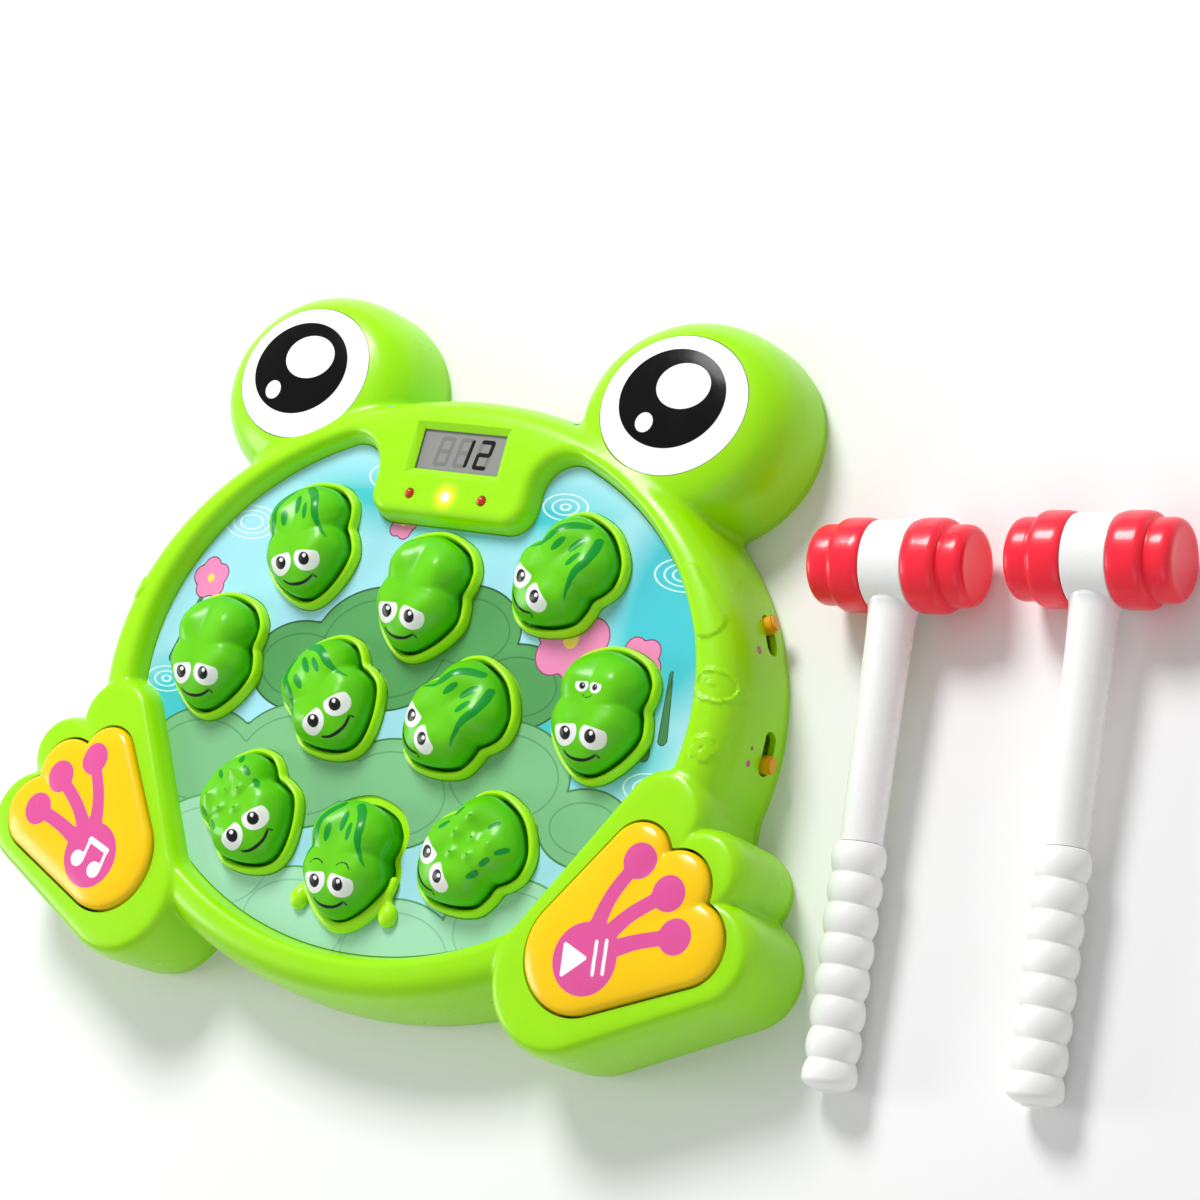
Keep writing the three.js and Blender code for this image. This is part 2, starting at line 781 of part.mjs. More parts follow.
function backCover() {
  const box_outline = rectangle(0, battery_y, pocket_width, pocket_depth);
  const ring_top = cover_plate + rib_height;
  const speaker_ring = rod(speaker_radius + seat + rib_plate, cover_plate / 2, ring_top, -pod_x, pod_y, 16)
    .subtract(rod(speaker_radius + seat, cover_plate, ring_top + cut_over, -pod_x, pod_y, 16));
  const raised = joined([
    coverPlate(),
    ...rib_angles.map(locatingRib),
    prism(box_outline, battery_wall, cover_plate / 2, pocket_top + battery_ceiling),
    rod(ear_well, cover_plate / 2, well_height, 0, ear_y, 12),
    rods(screw_spots, well_radius, cover_plate / 2, well_height),
    rods(board_spots, board_post, cover_plate / 2, board_height - seat),
    ...[-1, 1].map((side) => rods(pawPostSpots(side), board_post, cover_plate / 2, paw_board_height - seat)),
    speaker_ring,
    ...Object.keys(slot_angles).map(slideShelf),
  ]);
  const pilot = screw_radius + screw_slack;
  const cuts = joined([
    prism(box_outline, 0, -cut_over, pocket_top),
    doorShape(seat, -cut_over, door_plate + seat),
    rods(screw_spots, screw_head_radius + seat, -cut_over, well_height - well_floor),
    rods(screw_spots, pilot, -cut_over, well_height + cut_over, 5),
    rods(board_spots, pilot, cover_plate, board_height + cut_over, 5),
    rod(pilot, -cut_over, well_height - well_floor, 0, ear_y, 5),
    soundHoles(),
  ]);
  return raised.subtract(cuts);
}

// Battery door, cells and contacts

function batteryDoor() {
  const hole = rod(screw_radius + screw_slack, -cut_over, door_plate + cut_over, 0, ear_y, 5);
  const sink = rod(screw_head_radius + seat, -cut_over, door_plate / 2, 0, ear_y, 8);
  return doorShape(-seat, 0, door_plate).subtract(hole).subtract(sink);
}

function doorScrew() {
  const head_top = door_plate / 2 - seat;
  const head = rod(screw_head_radius, head_top / 2, head_top, 0, ear_y, 8);
  return head.add(rod(screw_radius, head_top / 2, board_screw_length, 0, ear_y, 5));
}

function alongX(geometry, x, y, z, turned) {
  geometry.rotateY(turned ? -Math.PI / 2 : Math.PI / 2);
  geometry.translate(x, y, z);
  return solid(geometry);
}

// The cells lie head to tail, so each row's nub points the other way
const cell_rows = Array.from({ length: cell_count }, (_, i) => ({
  y: battery_y + (i - (cell_count - 1) / 2) * cell_pitch,
  turned: i % 2 === 1,
}));

function batteryCell(row) {
  const half = cell_length / 2;
  const neck = half - nub_length;
  const profile = [
    [0, -half], [cell_radius, -half], [cell_radius, neck], [nub_radius, neck], [nub_radius, half], [0, half],
  ];
  return alongX(revolve(profile, 12), 0, row.y, cell_z, row.turned);
}

// One springy plate at the side given, over the rows given: a cone at each flat cell end, a
// dimple at each nub
function batteryContact(side, rows) {
  const x = side * (pocket_width / 2 - seat - contact_plate / 2);
  const ys = rows.map((row) => row.y);
  const depth = Math.max(...ys) - Math.min(...ys) + contact_size;
  const middle_y = (Math.max(...ys) + Math.min(...ys)) / 2;
  const plate = box(contact_plate, depth, contact_size, x, middle_y, cell_z - contact_size / 2);
  const reach = contact_room - contact_plate / 2 - 2 * seat;
  const bumps = rows.map((row) => {
    const flat_end = row.turned ? side > 0 : side < 0;
    const foot = flat_end ? contact_coil : contact_tip;
    const bump = [[0, 0], [foot, 0], [foot * contact_taper_share, reach], [0, reach]];
    return alongX(revolve(bump, 8), x, row.y, cell_z, side > 0);
  });
  return joined([plate, ...bumps]);
}

// Play deck with a raised lip round each frog, and the arms and hands at the free frog

function lipRing(place) {
  const top = deck_top + lip_height;
  const outer = head_gap + lip_width;
  return stack(headOutline(place), [[outer, deck_top - deck_plate / 2], [outer - lip_width / 4, top]]);
}

function headHole(place) {
  const top = deck_top + lip_height;
  return stack(headOutline(place), [
    [head_gap, deck_bottom - cut_over],
    [head_gap, top - lip_width / 2],
    [head_gap + lip_width / 3, top],
    [head_gap + lip_width / 3, top + cut_over],
  ]);
}

function blob(part, side, place) {
  const geometry = new THREE.SphereGeometry(1, 8, 6);
  geometry.rotateX(Math.PI / 2);
  geometry.scale(part.width, part.depth, part.height);
  geometry.translate(place.x + side * part.x, place.y + part.y, deck_top + part.height / 2);
  return solid(geometry);
}

function playDeck() {
  const plate_outline = (grow) => (
    ellipse(0, 0, deck_radius + grow, (deck_radius + grow) * body_ratio, body_sides)(0)
  );
  const plate = prism(plate_outline, 0, deck_bottom, deck_top);
  const lips = frog_places.map((place) => {
    const whole = lipRing(place);
    if (!place.free) {
      return whole;
    }
    const reach = 2 * head_half_length;
    const rear = rectangle(-reach / 2 - head_half_length / 8, 0, reach, 2 * reach);
    const low = deck_top - deck_plate / 4;
    const cut = prism((grow) => placed(rear(grow), place), 0, low, deck_top + lip_height + cut_over);
    const hands = [-1, 1].flatMap((side) => [blob(palm, side, place), blob(thumb, side, place)]);
    return joined([whole.subtract(cut), ...hands]);
  });
  const notch_radius = boss_radius + seat;
  const cuts = joined([
    ...frog_places.map(headHole),
    rods(screw_spots, notch_radius, deck_bottom - cut_over, deck_top + cut_over),
    rods(deck_spots, screw_radius + screw_slack, deck_bottom - cut_over, deck_top + cut_over, 5),
  ]);
  return plate.add(joined(lips)).subtract(cuts);
}

function pondSheet() {
  const low = deck_top + seat;
  const sheet = prism(openingOutline, -opening_draft - seat, low, low + sheet_plate);
  const lip_outer = head_gap + lip_width + seat;
  const lip_holes = frog_places.map((place) => prism(headOutline(place), lip_outer, low - cut_over, low + cut_over));
  const place = frog_places.find((one) => one.free);
  const hand_depth = palm.depth + thumb.depth;
  const hands = [-1, 1].map((side) => {
    const outline = ellipse(place.x + side * palm.x, place.y + palm.y + thumb.depth / 2, palm.width, hand_depth, 10);
    return prism(outline, 4 * seat, low - cut_over, low + cut_over);
  });
  const feet = [-1, 1].map((side) => footPrism(side, seat, low - cut_over, low + cut_over));
  return sheet.subtract(joined([...lip_holes, ...hands, ...feet]));
}

// Frog heads

const head_dome_shares = [[0.9, 0.52], [0.6, 0.9]];
const head_bumps = [
  { u_share: 0.42, v_share: 0.42, spread_share: 0.3 },
  { u_share: 0.42, v_share: -0.42, spread_share: 0.3 },
  { u_share: -0.55, v_share: 0.6, spread_share: 0.34 },
  { u_share: -0.55, v_share: -0.6, spread_share: 0.34 },
];

function bumpHeight(point) {
  return head_bumps.reduce((sum, bump) => {
    const along = (point.x / head_half_length - bump.u_share) / bump.spread_share;
    const across = (point.y / head_half_width - bump.v_share) / bump.spread_share;
    return sum + brow_height * Math.exp(-(along ** 2) - across ** 2);
  }, 0);
}

const flange_top = deck_bottom - seat;
const flange_low = flange_top - head_flange_plate;
const switch_top = board_top + switch_height + switch_pin + seat;

function frogHead(place) {
  const rings = [
    ring(placed(headLocal(head_flange), place), flange_low),
    ring(placed(headLocal(head_flange), place), flange_top),
    ring(placed(headLocal(0), place), flange_top),
    ring(placed(headLocal(0), place), head_edge_height),
  ];
  for (const [outward, upward] of head_dome_shares) {
    const local = headLocal(0, outward);
    const flat = placed(local, place);
    rings.push(flat.map((point, i) => (
      new THREE.Vector3(point.x, point.y, head_edge_height + head_height * upward + bumpHeight(local[i]))
    )));
  }
  const apex = (1 - head_dome_shares.at(-1)[1]) * head_height;
  return solid(loft(rings, apex)).add(rod(stem_radius, switch_top + head_travel, flange_low + seat, place.x, place.y, 8));
}

function sleeve(x, y, low, high) {
  const inner = spring_radius - spring_wire;
  const geometry = revolve([[inner, low], [spring_radius, low], [spring_radius, high], [inner, high]], 8);
  geometry.translate(x, y, 0);
  return solid(geometry);
}

function tactSwitch(x, y, board_face) {
  const solder = board_plate / 2;
  const body = box(switch_size, switch_size, switch_height + solder, x, y, board_face - solder);
  const top = board_face + switch_height;
  return body.add(rod(switch_pin_radius, board_face, top + switch_pin, x, y, 5));
}

// Main board under the heads

function mainBoard() {
  const plate = prism(ellipse(0, 0, board_radius, board_radius * body_ratio, 36), 0, board_height, board_top);
  const notch_low = ear_y - ear_well - battery_wall;
  const notch = box(
    pocket_width + 2 * battery_wall + 4 * seat,
    board_radius,
    board_height,
    0,
    notch_low + board_radius / 2,
    board_height / 2,
  );
  const holes = rods(board_spots, screw_radius + screw_slack, 0, board_top + cut_over, 5);
  const switches = frog_places.map((place) => tactSwitch(place.x, place.y, board_top));
  return joined([plate.subtract(notch).subtract(holes), ...switches]);
}

// Score display behind the block's window

const display_face = display_board_height + board_plate;

function indicatorLed(spot) {
  const low = display_face + seat;
  const rise = rim_height + led_proud;
  return revolve([
    [0, low], [led_flange, low], [led_flange, roof - seat], [led_radius, roof - seat],
    [led_radius, rise - led_radius], [led_radius * led_tip_share, rise - led_radius * (1 - led_tip_share)], [0, rise],
  ], 8).translate(spot.x, spot.y, 0);
}

// Speaker

function speaker() {
  const low = cover_plate + seat;
  const magnet = speaker_radius * magnet_share;
  const flange = speaker_height * speaker_rim_share;
  return revolve([
    [0, low], [speaker_radius, low], [speaker_radius, low + flange], [magnet, low + speaker_height / 2],
    [magnet, low + speaker_height], [0, low + speaker_height],
  ], 16).translate(-pod_x, pod_y, 0);
}

// Paw buttons on their springs and switch boards

const paw_dome_shares = [[0, 0], [0.25, 0.65], [1, 1]];
const paw_flange_top = foot_height - wall - 2 * seat;
const paw_flange_low = paw_flange_top - paw_flange_plate;
const paw_switch_top = paw_board_height + board_plate + switch_height + switch_pin + seat;

function pawButton(side) {
  const dome = paw_dome_shares.map(([inward, upward]) => (
    [-inward * paw_round, paw_edge_height + upward * (paw_height - paw_edge_height)]
  ));
  const cap = pawStack(side, [[0, paw_flange_low], ...dome]);
  const grow = paw_gap + paw_flange;
  const flange = pawStack(side, [[grow, paw_flange_low], [grow, paw_flange_top]])
    .intersect(footPrism(side, -paw_flange_room, paw_flange_low, paw_flange_top));
  const stem_low = paw_switch_top + paw_travel;
  const stem = rod(paw_stem, stem_low, paw_flange_low + seat, side * paw_stem_x, paw_stem_y, 8);
  return joined([cap, flange, stem]);
}

function pawBoard(side) {
  const x = side * paw_stem_x;
  const board = box(paw_board_size, paw_board_size, board_plate, x, paw_stem_y, paw_board_height);
  return board.add(tactSwitch(x, paw_stem_y, paw_board_height + board_plate));
}

// Hammers: the head's axis is X, the handle runs to -Y

const striker_from = band_width / 2 + seat;
const striker_to = head_length / 2;
const head_sides = 16;
const shaft_sides = 9;

function striker(side) {
  const step = striker_to - step_length;
  const bore = spigot_radius + seat;
  const shoulder = head_radius - striker_wall / 4;
  const geometry = revolve([
    [bore, striker_from],
    [shoulder, striker_from],
    [head_radius, (striker_from + step) / 2],
    [shoulder, step - groove_depth],
    [step_radius, step],
    [step_radius, striker_to - striker_wall],
    [step_radius - striker_wall, striker_to],
    [0, striker_to],
    [0, striker_to - striker_wall],
    [bore, striker_to - striker_wall],
  ], head_sides);
  geometry.rotateY(side * Math.PI / 2);
  return solid(geometry);
}

function hammerHandle() {
  const half = band_width / 2;
  const spigot = half + 2 * striker_wall;
  const hub = revolve([
    [0, -spigot], [spigot_radius, -spigot], [spigot_radius, -half], [band_radius, -half],
    [band_radius, half], [spigot_radius, half], [spigot_radius, spigot], [0, spigot],
  ], head_sides);
  hub.rotateY(Math.PI / 2);
  const neck = head_radius + 2 * seat;
  const grip_start = hammer_length - grip_length;
  const core_end = hammer_length - grip_waist;
  const shaft = revolve([
    [0, 0], [neck_radius, 0], [neck_radius, neck], [neck_radius + neck_flare, neck + neck_flare],
    [neck_radius, neck + neck_length], [shaft_radius, grip_start], [core_radius, grip_start],
    [core_radius, core_end], [0, core_end],
  ], shaft_sides);
  shaft.rotateX(Math.PI / 2);
  return solid(hub).add(solid(shaft));
}

function hammerGrip() {
  const from = hammer_length - grip_length + seat;
  const pitch = (hammer_length - from) / grip_ribs;
  const bore = core_radius + seat;
  const profile = [[bore, from]];
  for (let i = 0; i < grip_ribs; i += 1) {
    profile.push([grip_waist, from + i * pitch]);
    profile.push([grip_radius, from + (i + 0.5) * pitch]);
  }
  const core_end = hammer_length - grip_waist + seat;
  profile.push([grip_waist, hammer_length], [0, hammer_length], [0, core_end], [bore, core_end]);
  const geometry = revolve(profile, shaft_sides);
  geometry.rotateX(Math.PI / 2);
  return solid(geometry);
}

function addHammer(place, number) {
  const hammer = new THREE.Group();
  const tilt = Math.asin((head_radius - grip_radius) / hammer_length);
  hammer.position.set(place.x, place.y, head_radius);
  hammer.rotation.set(tilt, 0, THREE.MathUtils.degToRad(hammer_turn), 'ZYX');
  hammer.add(node(`hammer_${number}_handle`, hammerHandle(), hammer_white));
  hammer.add(node(`hammer_${number}_grip`, hammerGrip(), hammer_white, 0.6));
  hammer.add(node(`hammer_${number}_left_striker`, striker(-1), hammer_red));
  hammer.add(node(`hammer_${number}_right_striker`, striker(1), hammer_red));
  group.add(hammer);
}

// The console's pieces

group.name = 'frog_pounding_game';
node('front_shell', frontShell(), lime);
node('back_cover', backCover(), lime);
node('play_deck', playDeck(), lime_light);
node('pond_sheet', pondSheet(), pond_blue);
node('left_eye', eyeInsert(-1), eye_white);
node('right_eye', eyeInsert(1), eye_white);
frog_places.forEach((place, i) => {
  node(`frog_${i + 1}`, frogHead(place), frog_green);
  node(`frog_spring_${i + 1}`, sleeve(place.x, place.y, board_top + seat, flange_low - seat), steel, 0.3, 0.9);
});
node('main_board', mainBoard(), board_green);
node('display_board', box(display_board_width, display_board_depth, board_plate, 0, display_board_y, display_board_height), board_green);
const lcd_low = display_face + seat;
node('score_display', box(lcd_width + 2 * lcd_margin, lcd_depth + 2 * lcd_margin, lcd_plate, 0, lcd_y, lcd_low), display_grey, 0.15);
node('left_led', solid(indicatorLed(led_spots[0])), led_red);
node('middle_led', solid(indicatorLed(led_spots[1])), led_warm);
node('right_led', solid(indicatorLed(led_spots[2])), led_red);
node('speaker', solid(speaker()), dark);
cell_rows.forEach((row, i) => node(`battery_${i + 1}`, batteryCell(row), cell_skin, 0.3, 0.4));
const battery_contacts = {
  negative: [-1, [cell_rows[0]]],
  left_pair: [-1, cell_rows.slice(1)],
  right_pair: [1, cell_rows.slice(0, 2)],
  positive: [1, cell_rows.slice(2)],
};
for (const [name, [side, rows]] of Object.entries(battery_contacts)) {
  node(`battery_contact_${name}`, batteryContact(side, rows), steel, 0.3, 0.9);
}
node('battery_door', batteryDoor(), lime);
node('battery_door_screw', doorScrew(), steel, 0.3, 0.9);
for (const name of Object.keys(slot_angles)) {
  node(`${name}_can`, slideCan(name), steel, 0.3, 0.9);
  node(`${name}_knob`, slideKnob(name), knob_ochre);
}
for (const [name, side] of [['music', -1], ['play', 1]]) {
  const spring_low = paw_board_height + board_plate + seat;
  const spring_high = paw_flange_top - paw_flange_plate - seat;
  node(`${name}_button`, pawButton(side), paw_yellow);
  node(`${name}_button_spring`, sleeve(side * paw_stem_x, paw_stem_y, spring_low, spring_high), steel, 0.3, 0.9);
  node(`${name}_button_switch`, pawBoard(side), board_green);
}
hammer_places.forEach((place, i) => addHammer(place, i + 1));

export default group;
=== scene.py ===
"""Dresses the frog pounding game: a frog-shaped console on its back, with ten frog heads in a pond,
a score display, two paw buttons, two slide switches and two toy hammers.

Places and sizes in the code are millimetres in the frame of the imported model, and become metres
when a mesh is made. +Z is up out of the play face, +Y points to the eyes.
"""

import math

import bmesh
import bpy
import numpy as np
from bpy.props import FloatProperty, FloatVectorProperty, IntProperty, PointerProperty
from mathutils import Matrix, Vector


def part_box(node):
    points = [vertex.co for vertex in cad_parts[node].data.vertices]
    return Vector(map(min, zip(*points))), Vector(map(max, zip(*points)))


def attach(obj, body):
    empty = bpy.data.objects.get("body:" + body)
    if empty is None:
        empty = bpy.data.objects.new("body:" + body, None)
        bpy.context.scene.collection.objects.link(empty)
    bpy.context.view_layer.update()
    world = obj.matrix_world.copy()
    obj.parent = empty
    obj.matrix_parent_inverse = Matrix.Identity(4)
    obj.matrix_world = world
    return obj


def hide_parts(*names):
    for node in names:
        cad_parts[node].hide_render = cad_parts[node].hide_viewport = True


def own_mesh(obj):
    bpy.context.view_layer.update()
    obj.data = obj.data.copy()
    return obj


bl_info = {
    "name": "Frog pounding game",
    "version": (1, 0, 0),
    "blender": (4, 5, 0),
    "location": "3D View > Sidebar > Frog game",
    "description": "Builds the finished pieces of a frog pounding game round its packed solids",
    "category": "Object",
}

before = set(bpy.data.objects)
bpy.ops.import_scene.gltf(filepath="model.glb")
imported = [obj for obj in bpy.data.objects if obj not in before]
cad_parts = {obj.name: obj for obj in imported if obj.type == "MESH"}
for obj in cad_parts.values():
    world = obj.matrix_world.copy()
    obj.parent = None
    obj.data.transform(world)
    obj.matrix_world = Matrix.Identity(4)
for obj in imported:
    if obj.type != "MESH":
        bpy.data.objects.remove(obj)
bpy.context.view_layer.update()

MM = 0.001
FULL_TURN = 2 * math.pi
CREASE = 35
NO_PRINT = 5.0

# Casing
BODY_RADIUS = 132.5
CREST_RADIUS = 117
BODY_RATIO = 0.801
RIM_TOP = 35.2
WALL = 2.2
SEAT = 0.3
SEAM = 2.7
OVER = 4
BODY_CURVE = [(0, 0), (0.09, 0.56), (0.19, 0.78), (0.335, 0.905), (0.58, 0.98), (1, 1)]
FORM_BLEND = 3.5
EDGE_BLEND = 1.2
ON_FORM = 0.1
SLOPE_REACH = 0.2
SKIN_PITCH = 1.05
HOLLOW_PITCH = 2.0
COVER_PITCH = 1.6
COVER_PLATE = 2.4
COVER_INSET = 0.7

CASING_LOW = (-162, -111)
CASING_HIGH = (162, 144)

# Opening over the pond
OPENING_RADIUS = 115
OPENING_SHIFT = 2.2
OPENING_DRAFT = 1.5
RIDGE_ROUND = 2
BLOCK_HALF_WIDTH = 32.5
BLOCK_BOTTOM = 59.5
BLOCK_CORNER = 8
LOBE_ROUND = 13

# Deck and sheet
DECK_TOP = 27
DECK_BOTTOM = 24.8
DECK_RADIUS = 121
WALL_FOOT = 27.3
SHEET_LOW = 27.3
SHEET_TOP = 27.8

# Eye pods and eyes
POD_CENTRE = (77.5, 104)
POD_RADII = (42, 37.5)
POD_TOP = 34.5
POD_CURVE = [(1, 0), (0.98, 0.42), (0.91, 0.68), (0.76, 0.87), (0.48, 0.97), (0, 1)]
EYE_CENTRE = (78, 107)
EYE_RADII = (28, 24.7)
EYE_PLATE = 1.2

# Feet and paws, right side
FOOT_TOP = 36.5
FOOT_ROUND = 13
FOOT_CURVE = [(0, 0), (0, 0.7), (0.05, 0.86), (0.15, 0.95), (0.34, 0.99), (1, 1)]
FOOT_BLEND = 1.6
HEEL = (92.5, -82, 25.5)
TOES = [(115, -26.5, 16), (134, -41.5, 14.5), (141, -66, 18)]
PAW_HEEL = (99.5, -73.5, 19.5)
PAW_TOES = [(112, -40.5, 11), (128, -48, 12), (136, -64, 13.5)]
PAW_TOP = 39.8
PAW_EDGE = 37.2
PAW_GAP = 0.8
PAW_CROWN_REACH = 14
PAW_CROWN_FULLNESS = 2.4
PAW_EDGE_ROUND = 1.6
PAW_LOW = 32.2
PAW_LOW_ROUND = 0.8
PAW_FLANGE_TOP = 33.7
PAW_FLANGE = 1.8
PAW_FLANGE_INSET = 12.5
PAW_STEM = (117, -60, 3.6)
PAW_STEM_LOW = 23.4
TOE_DOTS = [(114.8, -42.1), (127.9, -50.4), (133.9, -63)]
TOE_DOT_RADIUS = 5.8
TOE_STEM_BENDS = [(-2, 2.5), (-0.75, 2.5), (1, 1.75)]
TOE_STEM_WIDTHS = [7, 5, 4.6]
HEEL_DOT = (104.3, -75.1, 11.6)

# Frog heads
HEAD_HALF_LENGTH = 19.5
HEAD_HALF_WIDTH = 15.5
HEAD_EDGE = 30.5
HEAD_DOME = 11.5
HEAD_GAP = 1
HEAD_FLANGE_LOW = 23
HEAD_FLANGE_TOP = 24.5
HEAD_FLANGE = 2
HEAD_STEM_LOW = 19.9
LIP_WIDTH = 2.6
LIP_HEIGHT = 4.5
HEAD_SHAPE = [
    (1, 0), (0.9, 0.36), (0.62, 0.74), (0.3, 0.98), (0.02, 0.94), (-0.14, 0.86),
    (-0.32, 0.93), (-0.55, 0.94), (-0.8, 0.74), (-0.94, 0.4), (-1, 0),
]
HEAD_CURVE = [
    (1, 0), (1.025, 0.12), (1.03, 0.28), (1.0, 0.46), (0.93, 0.62), (0.82, 0.76), (0.66, 0.88), (0.46, 0.955),
    (0.24, 0.99), (0.06, 1),
]
FROGS = [
    (-53.8, 45.9, -74, "striped"),
    (0, 33.2, -95, "smooth"),
    (53.8, 45.9, -130, "striped"),
    (-81.5, 2.7, -86, "smooth"),
    (-26.3, -6.3, -46, "striped"),
    (26.3, -6.3, -137, "striped"),
    (81.5, 2.7, -89, "carrier"),
    (-47, -49.3, -43, "warty"),
    (0, -58.8, -88, "browed"),
    (47, -49.3, -138, "warty"),
]
FREE_FROG = 8

# The free frog's bowl lip: its middle's height, its radii from the ends to the middle, and where it ends
BOWL_MIDDLE = 2.2
BOWL_RADII = [1.4, 2.1, 2.1, 1.4]
BOWL_END = 2.5

# The free frog's right hand, from the middle of its head at the deck's top
PALM = ((18.7, -14.9, 1.9), (3.3, 4.0, 3.0))
THUMB = [(18.0, -12.0, 2.0), (17.0, -8.4, 2.2)]
THUMB_RADII = [1.5, 1.25]
WRIST = [(16.4, -11.2, 1.5), (17.6, -12.8, 1.6)]
WRIST_RADII = [1.5, 1.5]

# Display and lamps
WINDOW = (0, 83.4, 35, 14.3)
WINDOW_BEVEL = 2.6
LAMPS = {"left_led": -15.2, "middle_led": 0, "right_led": 15.2}
LAMP_Y = 66.9
LAMP_RADIUS = 1.6
LAMP_FLANGE = 2.1
LAMP_PROUD = 1.3
# How far the painted glow of the lit lamp reaches over the casing
GLOW_FAR = 7
GLOW_NEAR = 1.6

# Slide switches
SLOT_ANGLES = {"power_switch": 22.4, "volume_switch": 1.2}
SLOT_LENGTH = 14.6
SLOT_HEIGHT = 6
SLOT_Z = 10
SLOT_REACH_SHARE = 0.035
KNOB_REST = {"power_switch": 3.5, "volume_switch": -3.5}
KNOB_LENGTH = 6
KNOB_PROUD = 3
KNOB_LOW = -4.6
KNOB_FLANGE_TOP = -3.4

# Marks by the slots: along and above the slot's middle, radius, and whether filled
SWITCH_MARKS = [
    ("power_switch", -7.5, 8.5, 1.3, False), ("power_switch", -12, 6, 0.9, True),
    ("volume_switch", -5.5, 9, 1.4, True), ("volume_switch", -0.5, 9, 1.0, True),
    ("volume_switch", 3.5, 9, 0.7, True),
]
MARK_COLOUR = (0.45, 0.1, 0.2, 1)

# Holes in the back cover
DOOR_Y = 74
DOOR_WIDTH = 60.4
DOOR_DEPTH = 48.2
DOOR_TAB = 9.6
DOOR_TAB_X = 14.3
DOOR_TAB_REACH = 2.7
DOOR_EAR = 4.7
DOOR_EAR_Y = -26
WELL_BORE = 3.1
SOUND_HOLE = 1.8
SOUND_RING = 9

# Springs and screws
CASE_SCREWS = [(-78, 131.5), (78, 131.5), (-118, -23.5), (118, -23.5), (-87, -97), (87, -97), (0, -97.3)]
DECK_SCREW_ANGLES = [25, 155, 183, 250, 290, 357]
DECK_SCREW_RADIUS = 118.5
BOARD_SCREWS = [(-54, 20), (54, 20), (-75, -28), (75, -28)]
CASE_SCREW_SEAT = 7
BOARD_TOP = 9.6
SPRING_RADIUS = 6.2
SPRING_LOW = 9.9
SPRING_HIGH = 22.7
PAW_SPRING_LOW = 15.9
PAW_SPRING_HIGH = 31.9
HEAD_TRAVEL = 5.0
PAW_TRAVEL = 2.5
SCREW_HEAD = 2.6
SCREW_SHANK = 1.25

# Hammers
HAMMERS = [(164.3, 66.7), (231, 75.7)]
HAMMER_TURN = 5.6
HAMMER_LENGTH = 164
STRIKER_RADIUS = 15
GRIP_LENGTH = 76
GRIP_RADIUS = 8.5
GRIP_WAIST = 7.2


# Sizes and colours that a user would change

def colour(name, description, value):
    return FloatVectorProperty(
        name=name, description=description, subtype="COLOR", size=4, min=0, max=1, default=(*value, 1),
    )


class CasingSettings(bpy.types.PropertyGroup):
    lime: colour("Casing", "Colour of the moulded casing", (0.33, 0.78, 0.0))
    collar: colour("Deck", "Colour of the lips round the frogs", (0.42, 0.88, 0.005))
    roughness: FloatProperty(
        name="Roughness", description="Roughness of the moulded plastic", default=0.3, min=0, max=1,
    )


class FrogSettings(bpy.types.PropertyGroup):
    skin: colour("Skin", "Colour of the frog heads' flanks", (0.04, 0.48, 0.0))
    # The crown colour is painted light: the heads' tops are made lighter as if lit from above
    crown: colour("Crown", "Colour of the frog heads' crowns", (0.13, 0.6, 0.0))
    stripe: colour("Stripe", "Colour of the printed stripes", (0.0, 0.3, 0.02))
    brow: FloatProperty(
        name="Brow height", description="Rise of the bumps on the head", default=0.0016,
        min=0, max=0.003, unit="LENGTH",
    )


class PondSettings(bpy.types.PropertyGroup):
    water: colour("Water", "Colour of the pale water", (0.36, 0.72, 0.86))
    deep: colour("Deep water", "Colour of the deeper water", (0.06, 0.55, 0.65))
    grass: colour("Grass", "Colour of the grass clumps", (0.12, 0.45, 0.14))
    petal: colour("Petals", "Colour of the blossoms", (0.85, 0.25, 0.5))


class PawSettings(bpy.types.PropertyGroup):
    plastic: colour("Paw", "Colour of the paw buttons", (1.0, 0.6, 0.0))
    figure: colour("Figure", "Colour of the printed figure", (0.72, 0.09, 0.32))


class HammerSettings(bpy.types.PropertyGroup):
    red: colour("Strikers", "Colour of the soft strikers", (1.0, 0.018, 0.045))
    white: colour("Handle", "Colour of the handle and band", (0.9, 0.9, 0.89))
    bulges: IntProperty(name="Bulges", description="Number of bulges on the grip", default=8, min=1, max=16)


class SpringSettings(bpy.types.PropertyGroup):
    turns: FloatProperty(name="Turns", description="Turns of each spring", default=5.5, min=1, max=12)
    wire: FloatProperty(
        name="Wire", description="Diameter of the spring wire", default=0.0009,
        min=0.0002, max=0.002, unit="LENGTH",
    )


SETTINGS = {
    "frog_casing": CasingSettings,
    "frog_heads": FrogSettings,
    "frog_pond": PondSettings,
    "frog_paws": PawSettings,
    "frog_hammers": HammerSettings,
    "frog_springs": SpringSettings,
}


# Node trees

